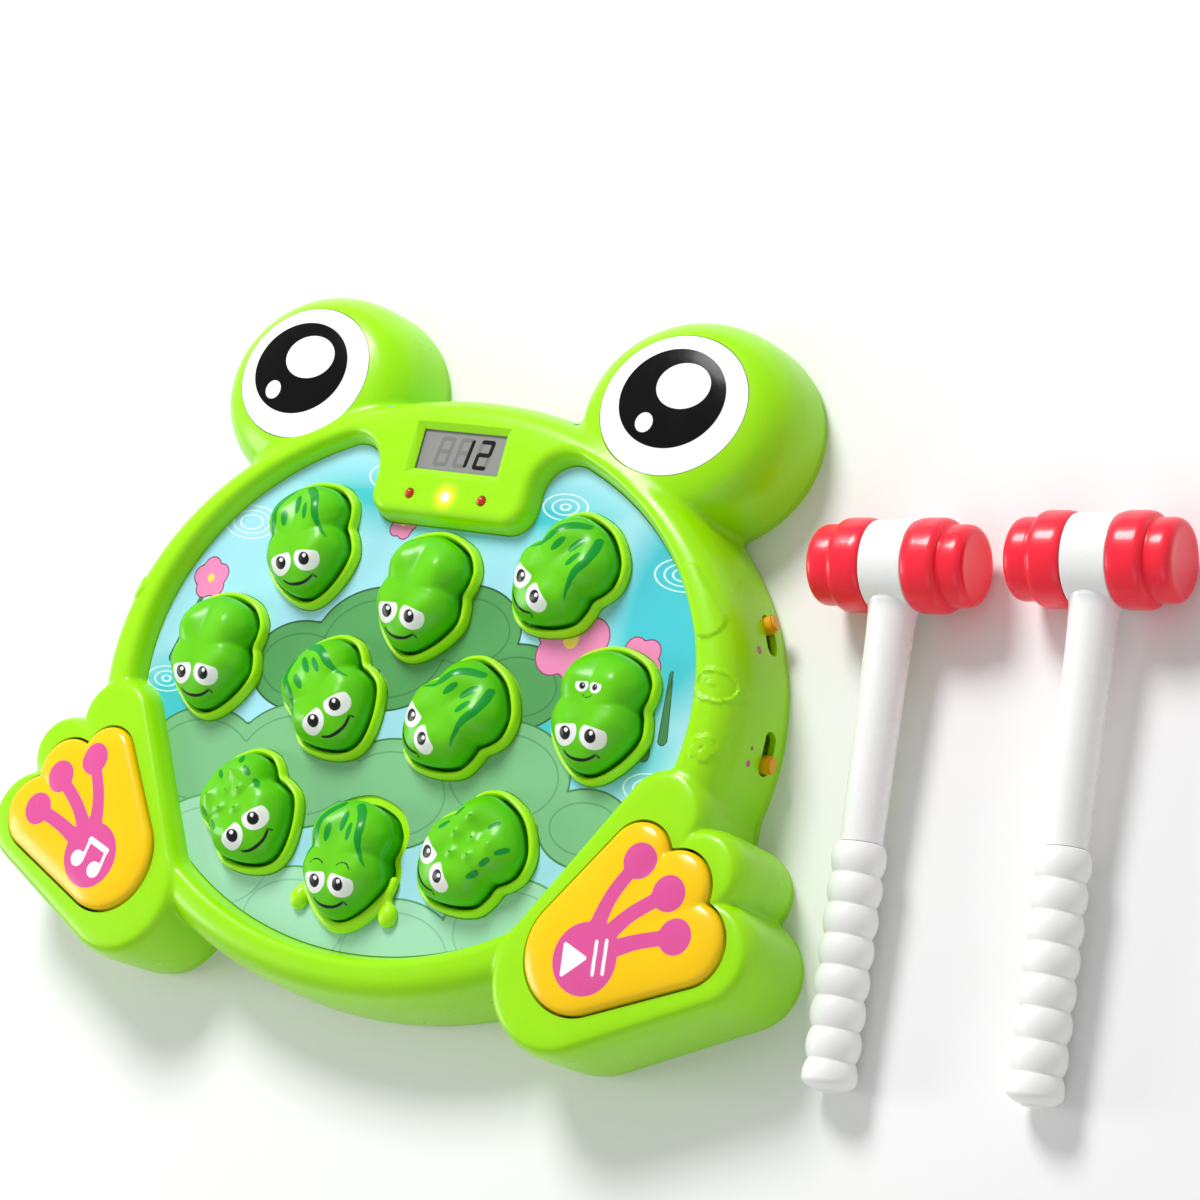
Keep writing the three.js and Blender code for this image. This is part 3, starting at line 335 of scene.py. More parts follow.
class Wiring:
    """Adds nodes to one tree, with their sockets set or linked"""

    def __init__(self, tree):
        self.tree = tree

    def add(self, kind, inputs=None, **settings):
        node = self.tree.nodes.new(kind)
        for key, value in settings.items():
            setattr(node, key, value)
        for key, value in (inputs or {}).items():
            socket = node.inputs[key]
            if isinstance(value, bpy.types.NodeSocket):
                self.tree.links.new(value, socket)
            else:
                socket.default_value = value
        return node

    def place(self):
        """Where a point of the surface is, in its object's own coordinates"""
        return self.add("ShaderNodeTexCoord").outputs["Object"]

    def math(self, operation, first, second=0.0):
        return self.add("ShaderNodeMath", {0: first, 1: second}, operation=operation).outputs[0]

    def mix(self, factor, low, high):
        node = self.add("ShaderNodeMix", {0: factor, 6: low, 7: high}, data_type="RGBA")
        return node.outputs[2]

    def spread(self, value, low, high, to_low, to_high):
        node = self.add("ShaderNodeMapRange", {0: value, 1: low, 2: high, 3: to_low, 4: to_high})
        return node.outputs[0]

    def noise(self, place, scale, detail=2.0):
        node = self.add("ShaderNodeTexNoise", {"Vector": place, "Scale": scale, "Detail": detail})
        return node.outputs[0]

    def finish(self, sockets):
        """Ends a material with its surface shader"""
        shader = self.add("ShaderNodeBsdfPrincipled", sockets)
        self.add("ShaderNodeOutputMaterial", {"Surface": shader.outputs[0]})

    def inside(self, attribute, softness=0.12):
        """1 inside a printed shape and 0 outside, from its distance kept on the mesh"""
        gap = self.add("ShaderNodeAttribute", attribute_name=attribute).outputs["Fac"]
        return self.spread(gap, softness, -softness, 0.0, 1.0)

    def on_line(self, attribute, inset, half_width, softness=0.1):
        """1 on a line that follows a printed shape's edge at an inset, and 0 off it"""
        gap = self.add("ShaderNodeAttribute", attribute_name=attribute).outputs["Fac"]
        away = self.math("ABSOLUTE", self.math("ADD", gap, inset))
        return self.spread(away, half_width + softness, half_width - softness, 0.0, 1.0)


def shade(value, factor):
    return (*(min(1.0, part * factor) for part in value[:3]), 1)


def new_material(name):
    material = bpy.data.materials.new(name)
    material.use_nodes = True
    net = Wiring(material.node_tree)
    material.node_tree.nodes.clear()
    return material, net


def moulded(name, base, roughness=0.3, prints=(), coat=0.12, grain=0.04, tint=0.05, soft=0.0,
             softened=(1, 1, 1), shine=0.32):
    """Moulded plastic: faint clouds in the colour, uneven gloss, a fine grain, and prints on top

    A print is a distance's name and a colour, and for a line its inset and half width as well.
    """
    material, net = new_material(name)
    place = net.place()
    cloud = net.noise(place, 28.0, 3.0)
    surface = net.mix(cloud, shade(base, 1 - tint), shade(base, 1 + tint))
    for attribute, printed, *line in prints:
        covered = net.on_line(attribute, *line) if line else net.inside(attribute)
        surface = net.mix(covered, surface, printed)
    gloss = net.spread(net.noise(place, 90.0, 4.0), 0.3, 0.7, roughness - 0.04, roughness + 0.06)
    height = net.noise(place, 1400.0, 1.0)
    bump = net.add("ShaderNodeBump", {"Strength": grain, "Distance": 0.0002, "Height": height})
    net.finish({
        "Base Color": surface,
        "Roughness": gloss,
        "Specular IOR Level": shine,
        "Coat Weight": coat,
        "Coat Roughness": 0.08,
        "Subsurface Weight": soft,
        "Subsurface Radius": softened,
        "Subsurface Scale": 0.002,
        "Normal": bump.outputs[0],
    })
    return material


def recolour(material, change):
    """Changes a moulded plastic's base colour, under its prints, with what the change makes of it"""
    net = Wiring(material.node_tree)
    base = next(node for node in material.node_tree.nodes if node.type == "MIX").outputs[2]
    target = base.links[0].to_socket
    material.node_tree.links.new(change(net, base), target)


def metal(name, base, roughness=0.25, streak=60.0):
    """Plated or drawn metal with streaks in its gloss"""
    material, net = new_material(name)
    place = net.place()
    cloud = net.noise(place, streak, 6.0)
    surface = net.mix(cloud, shade(base, 0.8), shade(base, 1.1))
    gloss = net.spread(net.noise(place, 400.0, 3.0), 0.2, 0.8, roughness - 0.08, roughness + 0.15)
    net.finish({
        "Base Color": surface, "Metallic": 1.0, "Roughness": gloss,
    })
    return material


def circuit_board(name="circuit_board"):
    """Green solder mask with copper tracks under it and a grid of soldered pads"""
    material, net = new_material(name)
    place = net.place()
    wave = net.add("ShaderNodeTexWave", {"Vector": place, "Scale": 160.0, "Distortion": 6.0, "Detail": 1.0})
    track = net.spread(wave.outputs["Fac"], 0.72, 0.78, 0.0, 1.0)
    mask = net.mix(track, (0.012, 0.14, 0.04, 1), (0.03, 0.26, 0.07, 1))
    cells = net.add("ShaderNodeTexVoronoi", {"Vector": place, "Scale": 240.0, "Randomness": 0.4})
    pad = net.spread(cells.outputs["Distance"], 0.2, 0.16, 0.0, 1.0)
    surface = net.mix(pad, mask, (0.62, 0.62, 0.6, 1))
    bump = net.add("ShaderNodeBump", {"Strength": 0.3, "Distance": 0.0001, "Height": track})
    net.finish({
        "Base Color": surface, "Roughness": 0.35, "Metallic": 0.0, "Normal": bump.outputs[0],
    })
    return material


def lamp_plastic(name, base, strength):
    """Tinted lamp body that glows by the strength given"""
    material, net = new_material(name)
    place = net.place()
    surface = net.mix(net.noise(place, 600.0), shade(base, 0.85), shade(base, 1.15))
    net.finish({
        "Base Color": surface,
        "Roughness": 0.12,
        "Coat Weight": 0.6,
        "Emission Color": (*base[:3], 1),
        "Emission Strength": strength,
    })
    return material


# Meshes

def piece(name, form, material, prints=None, crease=CREASE):
    """A new object from points in millimetres and faces, with any printed distances on its points"""
    points, faces = form
    mesh = bpy.data.meshes.new(name)
    mesh.from_pydata((np.asarray(points, float) * MM).tolist(), [], [tuple(map(int, face)) for face in faces])
    turn_outward(mesh)
    thing = place_mesh(name, mesh, material, crease)
    for key, gaps in (prints or {}).items():
        keep_print(thing, key, gaps)
    return thing


def turn_outward(mesh):
    work = bmesh.new()
    work.from_mesh(mesh)
    bmesh.ops.recalc_face_normals(work, faces=work.faces)
    work.to_mesh(mesh)
    work.free()


def soften(mesh, crease):
    """Smooth shading, with the edges sharp that turn more than the crease"""
    mesh.shade_smooth()
    mesh.set_sharp_from_angle(angle=math.radians(crease))


def place_mesh(name, mesh, material, crease=CREASE):
    mesh.materials.append(material)
    soften(mesh, crease)
    thing = bpy.data.objects.new(name, mesh)
    bpy.context.scene.collection.objects.link(thing)
    return thing


def points_of(thing):
    """The points of an object's mesh, in millimetres"""
    flat = np.zeros(3 * len(thing.data.vertices))
    thing.data.vertices.foreach_get("co", flat)
    return flat.reshape(-1, 3) / MM


def keep_print(thing, key, gaps):
    attribute = thing.data.attributes.new(key, "FLOAT", "POINT")
    attribute.data.foreach_set("value", np.asarray(gaps, np.float32))


def together(forms):
    """Several forms as one form of separate shells"""
    points = []
    faces = []
    count = 0
    for some_points, some_faces in forms:
        some_points = np.asarray(some_points, float)
        points.append(some_points)
        faces.extend(tuple(index + count for index in face) for face in some_faces)
        count += len(some_points)
    return np.concatenate(points), faces


def loft(rings):
    """A closed skin over rings of points that all have the same count"""
    count = len(rings[0])
    faces = []
    for start in range(0, (len(rings) - 1) * count, count):
        for i in range(count):
            j = (i + 1) % count
            faces.append((start + i, start + j, start + count + j, start + count + i))
    last = (len(rings) - 1) * count
    faces.append(tuple(reversed(range(count))))
    faces.append(tuple(range(last, last + count)))
    return np.concatenate(rings), faces


def capped_loft(rings, apex):
    """A skin over rings that closes on a flat foot and on a top point"""
    points, faces = loft(rings)
    faces.pop()
    last = len(points) - len(rings[0])
    count = len(rings[0])
    points = np.concatenate([points, [apex]])
    faces.extend((last + i, last + (i + 1) % count, len(points) - 1) for i in range(count))
    return points, faces


def at_height(outline, z):
    return np.column_stack([outline, np.full(len(outline), float(z))])


def prism(outline, low, high):
    return loft([at_height(outline, low), at_height(outline, high)])


def disc(spot, radius, low, high, sides=32):
    return prism(ellipse(spot, (radius, radius), sides), low, high)


def printed_sheet(xs, ys, low, high):
    """A flat sheet with a grid of points on its top, to carry prints"""
    grid = np.stack(np.meshgrid(xs, ys, [high], indexing="ij"), -1).reshape(-1, 3)
    number = np.arange(len(grid)).reshape(len(xs), len(ys))
    faces = np.stack([number[:-1, :-1], number[1:, :-1], number[1:, 1:], number[:-1, 1:]], -1).reshape(-1, 4)
    edge = np.concatenate([number[0], number[1:, -1], number[-1, -2::-1], number[-2:0:-1, 0]])
    under = len(grid) + np.arange(len(edge))
    sides = np.stack([edge, np.roll(edge, -1), np.roll(under, -1), under], 1)
    points = np.concatenate([grid, grid[edge] - (0, 0, high - low)])
    return points, [*faces.tolist(), *sides.tolist(), under.tolist()]


def turned(profile, sides=64):
    """A turned form along +Z from pairs of radius and height that start and end on the axis"""
    angles = np.linspace(0, FULL_TURN, sides, endpoint=False)
    rings = [
        np.column_stack([radius * np.cos(angles), radius * np.sin(angles), np.full(sides, float(height))])
        for radius, height in profile[1:-1]
    ]
    points, faces = loft(rings)
    faces = faces[:-2]
    low = len(points)
    points = np.concatenate([points, [(0, 0, profile[0][1]), (0, 0, profile[-1][1])]])
    last = low - sides
    for i in range(sides):
        j = (i + 1) % sides
        faces.append((low, j, i))
        faces.append((low + 1, last + i, last + j))
    return points, faces


def moved(form, matrix):
    points, faces = form
    matrix = np.array(matrix)
    return np.asarray(points) @ matrix[:3, :3].T + matrix[:3, 3], faces


def smooth_path(corners, steps, closed=False):
    """Points along a smooth curve through the corners"""
    corners = np.asarray(corners, float)
    count = len(corners)
    spans = count if closed else count - 1
    result = []
    for i in range(spans):
        if closed:
            a, b, c, d = (corners[(i + k) % count] for k in (-1, 0, 1, 2))
        else:
            a, b, c, d = (corners[min(max(i + k, 0), count - 1)] for k in (-1, 0, 1, 2))
        for step in range(steps):
            t = step / steps
            result.append(0.5 * (
                2 * b + (c - a) * t + (2 * a - 5 * b + 4 * c - d) * t ** 2 + (3 * b - a - 3 * c + d) * t ** 3
            ))
    if not closed:
        result.append(corners[-1])
    return np.array(result)


def ellipse(centre, radii, sides=96):
    angles = np.linspace(0, FULL_TURN, sides, endpoint=False)
    return np.column_stack([centre[0] + radii[0] * np.cos(angles), centre[1] + radii[1] * np.sin(angles)])


def cut_from(thing, cutters, operation="DIFFERENCE"):
    """Cuts closed forms out of an object's mesh, or keeps only what is inside them"""
    before = len(thing.data.polygons)
    mesh = bpy.data.meshes.new("cutter")
    points, faces = together(cutters)
    mesh.from_pydata((points * MM).tolist(), [], faces)
    turn_outward(mesh)
    cutter = bpy.data.objects.new("cutter", mesh)
    bpy.context.scene.collection.objects.link(cutter)
    modifier = thing.modifiers.new("cut", "BOOLEAN")
    modifier.operation = operation
    modifier.solver = "MANIFOLD"
    modifier.object = cutter
    settle(thing)
    bpy.data.objects.remove(cutter)
    bpy.data.meshes.remove(mesh)
    if len(thing.data.polygons) == before:
        raise RuntimeError(f"{thing.name} wasn't cut, so one of the meshes isn't closed")


def settle(thing, crease=CREASE):
    """Applies an object's modifiers to its mesh"""
    material = thing.data.materials[0] if thing.data.materials else None
    seen = thing.evaluated_get(bpy.context.evaluated_depsgraph_get())
    mesh = bpy.data.meshes.new_from_object(seen)
    thing.modifiers.clear()
    old = thing.data
    thing.data = mesh
    mesh.name = thing.name
    if material and not mesh.materials:
        mesh.materials.append(material)
    if not mesh.polygons:
        raise RuntimeError(f"{thing.name} has no faces left")
    soften(mesh, crease)
    if old.users == 0:
        bpy.data.meshes.remove(old)


# Distances, negative inside a shape

def ellipse_gap(x, y, centre, radii):
    across = (x - centre[0]) / radii[0] + 1e-9
    deep = (y - centre[1]) / radii[1]
    far = np.hypot(across, deep)
    slope = np.hypot(across / radii[0], deep / radii[1])
    return far * (far - 1) / np.maximum(slope, 1e-12)


def circle_gap(x, y, centre, radius):
    return np.hypot(x - centre[0], y - centre[1]) - radius


def edge_gap(x, y, start, end):
    """Distance to a straight edge, and how far along it the nearest place is"""
    edge = end - start
    along = np.clip(((x - start[0]) * edge[0] + (y - start[1]) * edge[1]) / max(edge @ edge, 1e-12), 0, 1)
    return np.hypot(x - start[0] - along * edge[0], y - start[1] - along * edge[1]), along


def line_gap(x, y, path, width):
    """Distance to a stroke along a path; the width is a number or one for each point"""
    path = np.asarray(path, float)
    widths = np.broadcast_to(np.asarray(width, float), (len(path),))
    best = np.full(np.shape(x), np.inf)
    for start, end, wide_start, wide_end in zip(path[:-1], path[1:], widths[:-1], widths[1:]):
        gap, along = edge_gap(x, y, start, end)
        best = np.minimum(best, gap - (wide_start + along * (wide_end - wide_start)) / 2)
    return best


def outline_gap(x, y, outline):
    """Distance to a closed outline"""
    best = np.full(x.shape, np.inf)
    within = np.zeros(x.shape, bool)
    for start, end in zip(outline, np.roll(outline, -1, 0)):
        best = np.minimum(best, edge_gap(x, y, start, end)[0])
        if start[1] != end[1]:
            crossing = (end[0] - start[0]) * (y - start[1]) / (end[1] - start[1]) + start[0]
            within ^= ((start[1] > y) != (end[1] > y)) & (x < crossing)
    return np.where(within, -best, best)


def capsule_gap(x, y, back, front):
    """Distance to a tapered capsule round two circles"""
    gap = math.hypot(front[0] - back[0], front[1] - back[1])
    ux, uy = (front[0] - back[0]) / gap, (front[1] - back[1]) / gap
    along = (x - back[0]) * ux + (y - back[1]) * uy
    aside = np.abs((x - back[0]) * uy - (y - back[1]) * ux)
    taper = (back[2] - front[2]) / gap
    straight = math.sqrt(1 - taper ** 2)
    measure = along * straight - aside * taper
    flank = aside * straight + along * taper - back[2]
    near_back = np.hypot(aside, along) - back[2]
    near_front = np.hypot(aside, along - gap) - front[2]
    return np.where(measure < 0, near_back, np.where(measure > straight * gap, near_front, flank))


def blend_in(first, second, width):
    """Both shapes, with a fillet of about the width where they meet"""
    share = np.maximum(width - np.abs(first - second), 0) / width
    return np.minimum(first, second) - share ** 2 * width / 4


def blend_out(first, second, width):
    """What both shapes share, with a rounded edge of about the width"""
    return -blend_in(-first, -second, width)


def blob_gap(points, centre, radii):
    """Distance to an ellipsoid"""
    scaled = (points - np.asarray(centre, float)) / np.asarray(radii, float)
    far = np.sqrt((scaled ** 2).sum(-1)) + 1e-9
    slope = np.sqrt(((scaled / np.asarray(radii, float)) ** 2).sum(-1)) + 1e-12
    return far * (far - 1) / slope


def rod_gap(points, path, radii):
    """Distance to a rounded rod along a path in space, with a radius for each of its points"""
    best = np.full(points.shape[:-1], np.inf)
    path = np.asarray(path, float)
    for a, b, radius_a, radius_b in zip(path[:-1], path[1:], radii[:-1], radii[1:]):
        edge = b - a
        along = np.clip(((points - a) @ edge) / (edge @ edge), 0, 1)
        gap = np.sqrt(((points - a - along[..., None] * edge) ** 2).sum(-1))
        best = np.minimum(best, gap - radius_a - along * (radius_b - radius_a))
    return best


class Chart:
    """A grid of values over a flat range, read back smoothly between its points"""

    def __init__(self, low, high, pitch, measure):
        self.low = np.array(low, float)
        self.pitch = pitch
        xs = np.arange(low[0], high[0] + pitch, pitch)
        ys = np.arange(low[1], high[1] + pitch, pitch)
        self.values = measure(*np.meshgrid(xs, ys, indexing="ij"))

    def at(self, x, y):
        rows, columns = self.values.shape
        across = np.clip((x - self.low[0]) / self.pitch, 0, rows - 1.001)
        deep = np.clip((y - self.low[1]) / self.pitch, 0, columns - 1.001)
        i = across.astype(int)
        j = deep.astype(int)
        across = across - i
        deep = deep - j
        low = self.values[i, j] * (1 - across) + self.values[i + 1, j] * across
        high = self.values[i, j + 1] * (1 - across) + self.values[i + 1, j + 1] * across
        return low * (1 - deep) + high * deep


def skin(measure, low, high, pitch):
    """A smooth closed skin where a distance in space is zero"""
    low = np.asarray(low, float)
    counts = np.ceil((np.asarray(high, float) - low) / pitch).astype(int) + 1
    axes = [low[k] + pitch * np.arange(counts[k]) for k in range(3)]
    grid = np.stack(np.meshgrid(*axes, indexing="ij"), -1)
    field = measure(grid)
    points, number = cell_points(grid, field, pitch)
    faces = cell_faces(field < 0, number)
    return evened(measure, points, faces, pitch), faces


def cell_points(grid, field, pitch):
    """A point in each cell that the skin runs through, and the points' numbers by cell"""
    solid = field < 0
    corner_slices = [
        tuple(slice(bit, None) if bit else slice(None, -1) for bit in bits)
        for bits in np.ndindex(2, 2, 2)
    ]
    filled = sum(solid[part].astype(int) for part in corner_slices)
    mixed = (filled > 0) & (filled < 8)
    total = np.zeros((*mixed.shape, 3))
    hits = np.zeros(mixed.shape)
    for axis in range(3):
        others = [k for k in range(3) if k != axis]
        for bits in np.ndindex(2, 2):
            first = [slice(None, -1)] * 3
            second = [slice(None, -1)] * 3
            second[axis] = slice(1, None)
            for k, bit in zip(others, bits):
                if bit:
                    first[k] = second[k] = slice(1, None)
            a = field[tuple(first)]
            b = field[tuple(second)]
            crossed = (a < 0) != (b < 0)
            share = np.where(crossed, a / np.where(crossed, a - b, 1), 0)
            total[crossed] += grid[tuple(first)][crossed]
            total[..., axis][crossed] += pitch * share[crossed]
            hits[crossed] += 1
    points = total[mixed] / hits[mixed][:, None]
    number = np.full(mixed.shape, -1)
    number[mixed] = np.arange(len(points))
    return points, number


def cell_faces(solid, number):
    """A face across each edge of the grid that passes through the skin"""
    faces = []
    for axis in range(3):
        u, v = (axis + 1) % 3, (axis + 2) % 3
        a_slice = [slice(1, -1)] * 3
        b_slice = [slice(1, -1)] * 3
        a_slice[axis] = slice(0, -1)
        b_slice[axis] = slice(1, None)
        a = solid[tuple(a_slice)]
        b = solid[tuple(b_slice)]
        for entering, order in ((a & ~b, (0, 1, 2, 3)), (~a & b, (3, 2, 1, 0))):
            found = np.argwhere(entering)
            cell = found.copy()
            cell[:, u] += 1
            cell[:, v] += 1
            corners = []
            for du, dv in ((-1, -1), (0, -1), (0, 0), (-1, 0)):
                near = cell.copy()
                near[:, u] += du
                near[:, v] += dv
                corners.append(number[near[:, 0], near[:, 1], near[:, 2]])
            faces.append(np.stack([corners[k] for k in order], 1))
    return np.concatenate(faces)


def evened(measure, points, faces, pitch):
    """A skin's points, drawn evenly apart and settled back on it"""
    steps = np.concatenate([faces[:, [k, (k + 1) % 4]] for k in range(4)])
    neighbours = np.bincount(steps[:, 0], minlength=len(points))[:, None]
    for _ in range(4):
        total = [np.bincount(steps[:, 0], points[steps[:, 1], axis], len(points)) for axis in range(3)]
        points = settle_on(measure, (points + np.stack(total, 1) / neighbours) / 2, pitch)
    return points


def slope_of(measure, points, reach):
    """Which way a distance grows at points in space"""
    return np.stack([
        (measure(points + shift) - measure(points - shift)) / (2 * reach)
        for shift in reach * np.eye(3)
    ], -1)


def follow_form(thing, measure):
    """Shades the faces that lie on a form by the form's own slope, which keeps highlights even"""
    mesh = thing.data
    points = points_of(thing)
    slope = slope_of(measure, points, SLOPE_REACH)
    slope /= np.maximum(np.sqrt((slope ** 2).sum(-1)), 1e-9)[:, None]
    corners = np.zeros(len(mesh.loops), int)
    mesh.loops.foreach_get("vertex_index", corners)
    shading = np.zeros(3 * len(corners))
    mesh.corner_normals.foreach_get("vector", shading)
    sides = np.zeros(len(mesh.polygons), int)
    mesh.polygons.foreach_get("loop_total", sides)
    firsts = np.concatenate([[0], np.cumsum(sides)[:-1]])
    on_form = np.abs(measure(points))[corners] < ON_FORM
    follows = np.repeat(np.logical_and.reduceat(on_form, firsts), sides)[:, None]
    mesh.normals_split_custom_set(np.where(follows, slope[corners], shading.reshape(-1, 3)).tolist())


def settle_on(measure, points, pitch):
    """One step of the points towards where the distance is zero"""
    value = measure(points)
    slope = slope_of(measure, points, 0.2 * pitch)
    steep = np.maximum((slope ** 2).sum(-1), 0.05)
    step = (value / steep)[:, None] * slope
    length = np.sqrt((step ** 2).sum(-1))[:, None]
    return points - step * np.minimum(1, 0.5 * pitch / np.maximum(length, 1e-9))


def finish_nodes(material, *nodes):
    """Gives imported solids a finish"""
    for name in nodes:
        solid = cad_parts[name]
        if not solid.data.materials:
            solid.data.materials.append(material)
        solid.material_slots[0].link = "OBJECT"
        solid.material_slots[0].material = material


# Outlines shared by the pieces

def opening_outline(grow=0.0):
    across = OPENING_RADIUS + grow
    deep = OPENING_RADIUS * BODY_RATIO + grow
    block_x = BLOCK_HALF_WIDTH - grow
    block_y = BLOCK_BOTTOM + grow
    lobe = LOBE_ROUND + grow
    corner = BLOCK_CORNER - grow
    lobe_x = block_x + lobe
    lobe_share = lobe_x / (across - lobe)
    lobe_y = OPENING_SHIFT + (deep - lobe) * math.sqrt(1 - lobe_share ** 2)
    angles = np.linspace(-math.pi / 2, math.acos(lobe_share), 90)
    sweep = np.column_stack([across * np.cos(angles), OPENING_SHIFT + deep * np.sin(angles)])
    touch = sweep[-1]
    lobe_from = math.atan2(touch[1] - lobe_y, touch[0] - lobe_x)
    turn = np.linspace(lobe_from, math.pi, 16)[1:]
    lobe_part = np.column_stack([lobe_x + lobe * np.cos(turn), lobe_y + lobe * np.sin(turn)])
    turn = np.linspace(0, -math.pi / 2, 10)
    corner_part = np.column_stack([
        block_x - corner + corner * np.cos(turn), block_y + corner + corner * np.sin(turn),
    ])
    half = np.concatenate([sweep, lobe_part, corner_part])
    other = (half[1:] * (-1, 1))[::-1]
    return np.concatenate([half, other])


def toes_gap(x, y, heel, toes, width):
    """Distance to capsules from one heel, with fillets between the toes that fade out at the heel"""
    ahead = np.mean([toe[:2] for toe in toes], 0) - heel[:2]
    along = ((x - heel[0]) * ahead[0] + (y - heel[1]) * ahead[1]) / (math.hypot(*ahead) * heel[2])
    fillet = width * np.clip(along, 0.02, 1)
    whole = capsule_gap(x, y, heel, toes[0])
    for toe in toes[1:]:
        whole = blend_in(whole, capsule_gap(x, y, heel, toe), fillet)
    return whole


def foot_gap(x, y):
    return toes_gap(x, y, HEEL, TOES, 1.4)


def paw_gap(x, y):
    return toes_gap(x, y, PAW_HEEL, PAW_TOES, 0.7)


def pod_height(x, y):
    """Height of an eye pod's top surface"""
    curve = smooth_path([(1 - share, up) for share, up in POD_CURVE], 8)
    share = np.hypot((np.abs(x) - POD_CENTRE[0]) / POD_RADII[0], (y - POD_CENTRE[1]) / POD_RADII[1])
    return SEAM + (POD_TOP - SEAM) * np.interp(1 - share, curve[:, 0], curve[:, 1])


def head_outline(grow=0.0, points_per_span=5):
    """The outline of a head with its face along +X"""
    mirrored = [(u, -v) for u, v in HEAD_SHAPE[-2:0:-1]]
    shape = smooth_path([*HEAD_SHAPE, *mirrored], points_per_span, closed=True)
    outline = shape * (HEAD_HALF_LENGTH, HEAD_HALF_WIDTH)
    far = np.hypot(outline[:, 0], outline[:, 1])[:, None]
    return outline * (1 + grow / far)


def placed(outline, frog):
    x, y, turn, _ = frog
    angle = math.radians(turn)
    cos, sin = math.cos(angle), math.sin(angle)
    result = np.array(outline, float)
    result[:, 0] = x + outline[:, 0] * cos - outline[:, 1] * sin
    result[:, 1] = y + outline[:, 0] * sin + outline[:, 1] * cos
    return result


def slot_frame(angle_deg, along):
    """A frame on the casing's wall, with X out of the wall and Y along it"""
    angle = math.radians(angle_deg)
    reach = BODY_RADIUS - (BODY_RADIUS - CREST_RADIUS) * SLOT_REACH_SHARE
    turn = math.atan2(math.sin(angle), BODY_RATIO * math.cos(angle))
    place = (reach * math.cos(angle), reach * BODY_RATIO * math.sin(angle), SLOT_Z)
    return Matrix.Translation(place) @ Matrix.Rotation(turn, 4, "Z") @ Matrix.Translation((0, along, 0))


def slot_prism(length, height, low, high):
    """A bar with round ends; its length is Y, its height Z, and it runs along X"""
    half = (length - height) / 2
    right = np.linspace(-math.pi / 2, math.pi / 2, 14)
    left = right + math.pi
    outline = np.concatenate([
        np.column_stack([half + height / 2 * np.cos(right), height / 2 * np.sin(right)]),
        np.column_stack([-half + height / 2 * np.cos(left), height / 2 * np.sin(left)]),
    ])
    rings = [np.column_stack([np.full(len(outline), float(x)), outline]) for x in (low, high)]
    return loft(rings)


# Casing

RELIEF_HEIGHT = 0.7
RELIEF_SLOPE = 0.8
BLOOM_RELIEFS = [(123.4, -3.5, 2.5), (-124, 22, 2.3)]
PAD_RELIEF = ((121.5, 16.5), (6.6, 5.2))
DROP_RELIEF = ((102.5, 51, 3.4), (113.5, 36.5, 5.2))


def relief_gap(x, y):
    """Distance to the blooms, the leaf pad and the drop that stand out of the rim"""
    blooms = [
        circle_gap(x, y, (cx + size * math.cos(turn), cy + size * math.sin(turn)), 0.85 * size)
        for cx, cy, size in BLOOM_RELIEFS for turn in np.linspace(0, FULL_TURN, 5, endpoint=False)
    ]
    pad = np.abs(ellipse_gap(x, y, *PAD_RELIEF)) - 0.45
    vein = line_gap(x, y, [(PAD_RELIEF[0][0] - 5, PAD_RELIEF[0][1] + 3), PAD_RELIEF[0]], 0.9)
    return np.minimum.reduce([*blooms, pad, vein, capsule_gap(x, y, *DROP_RELIEF)])


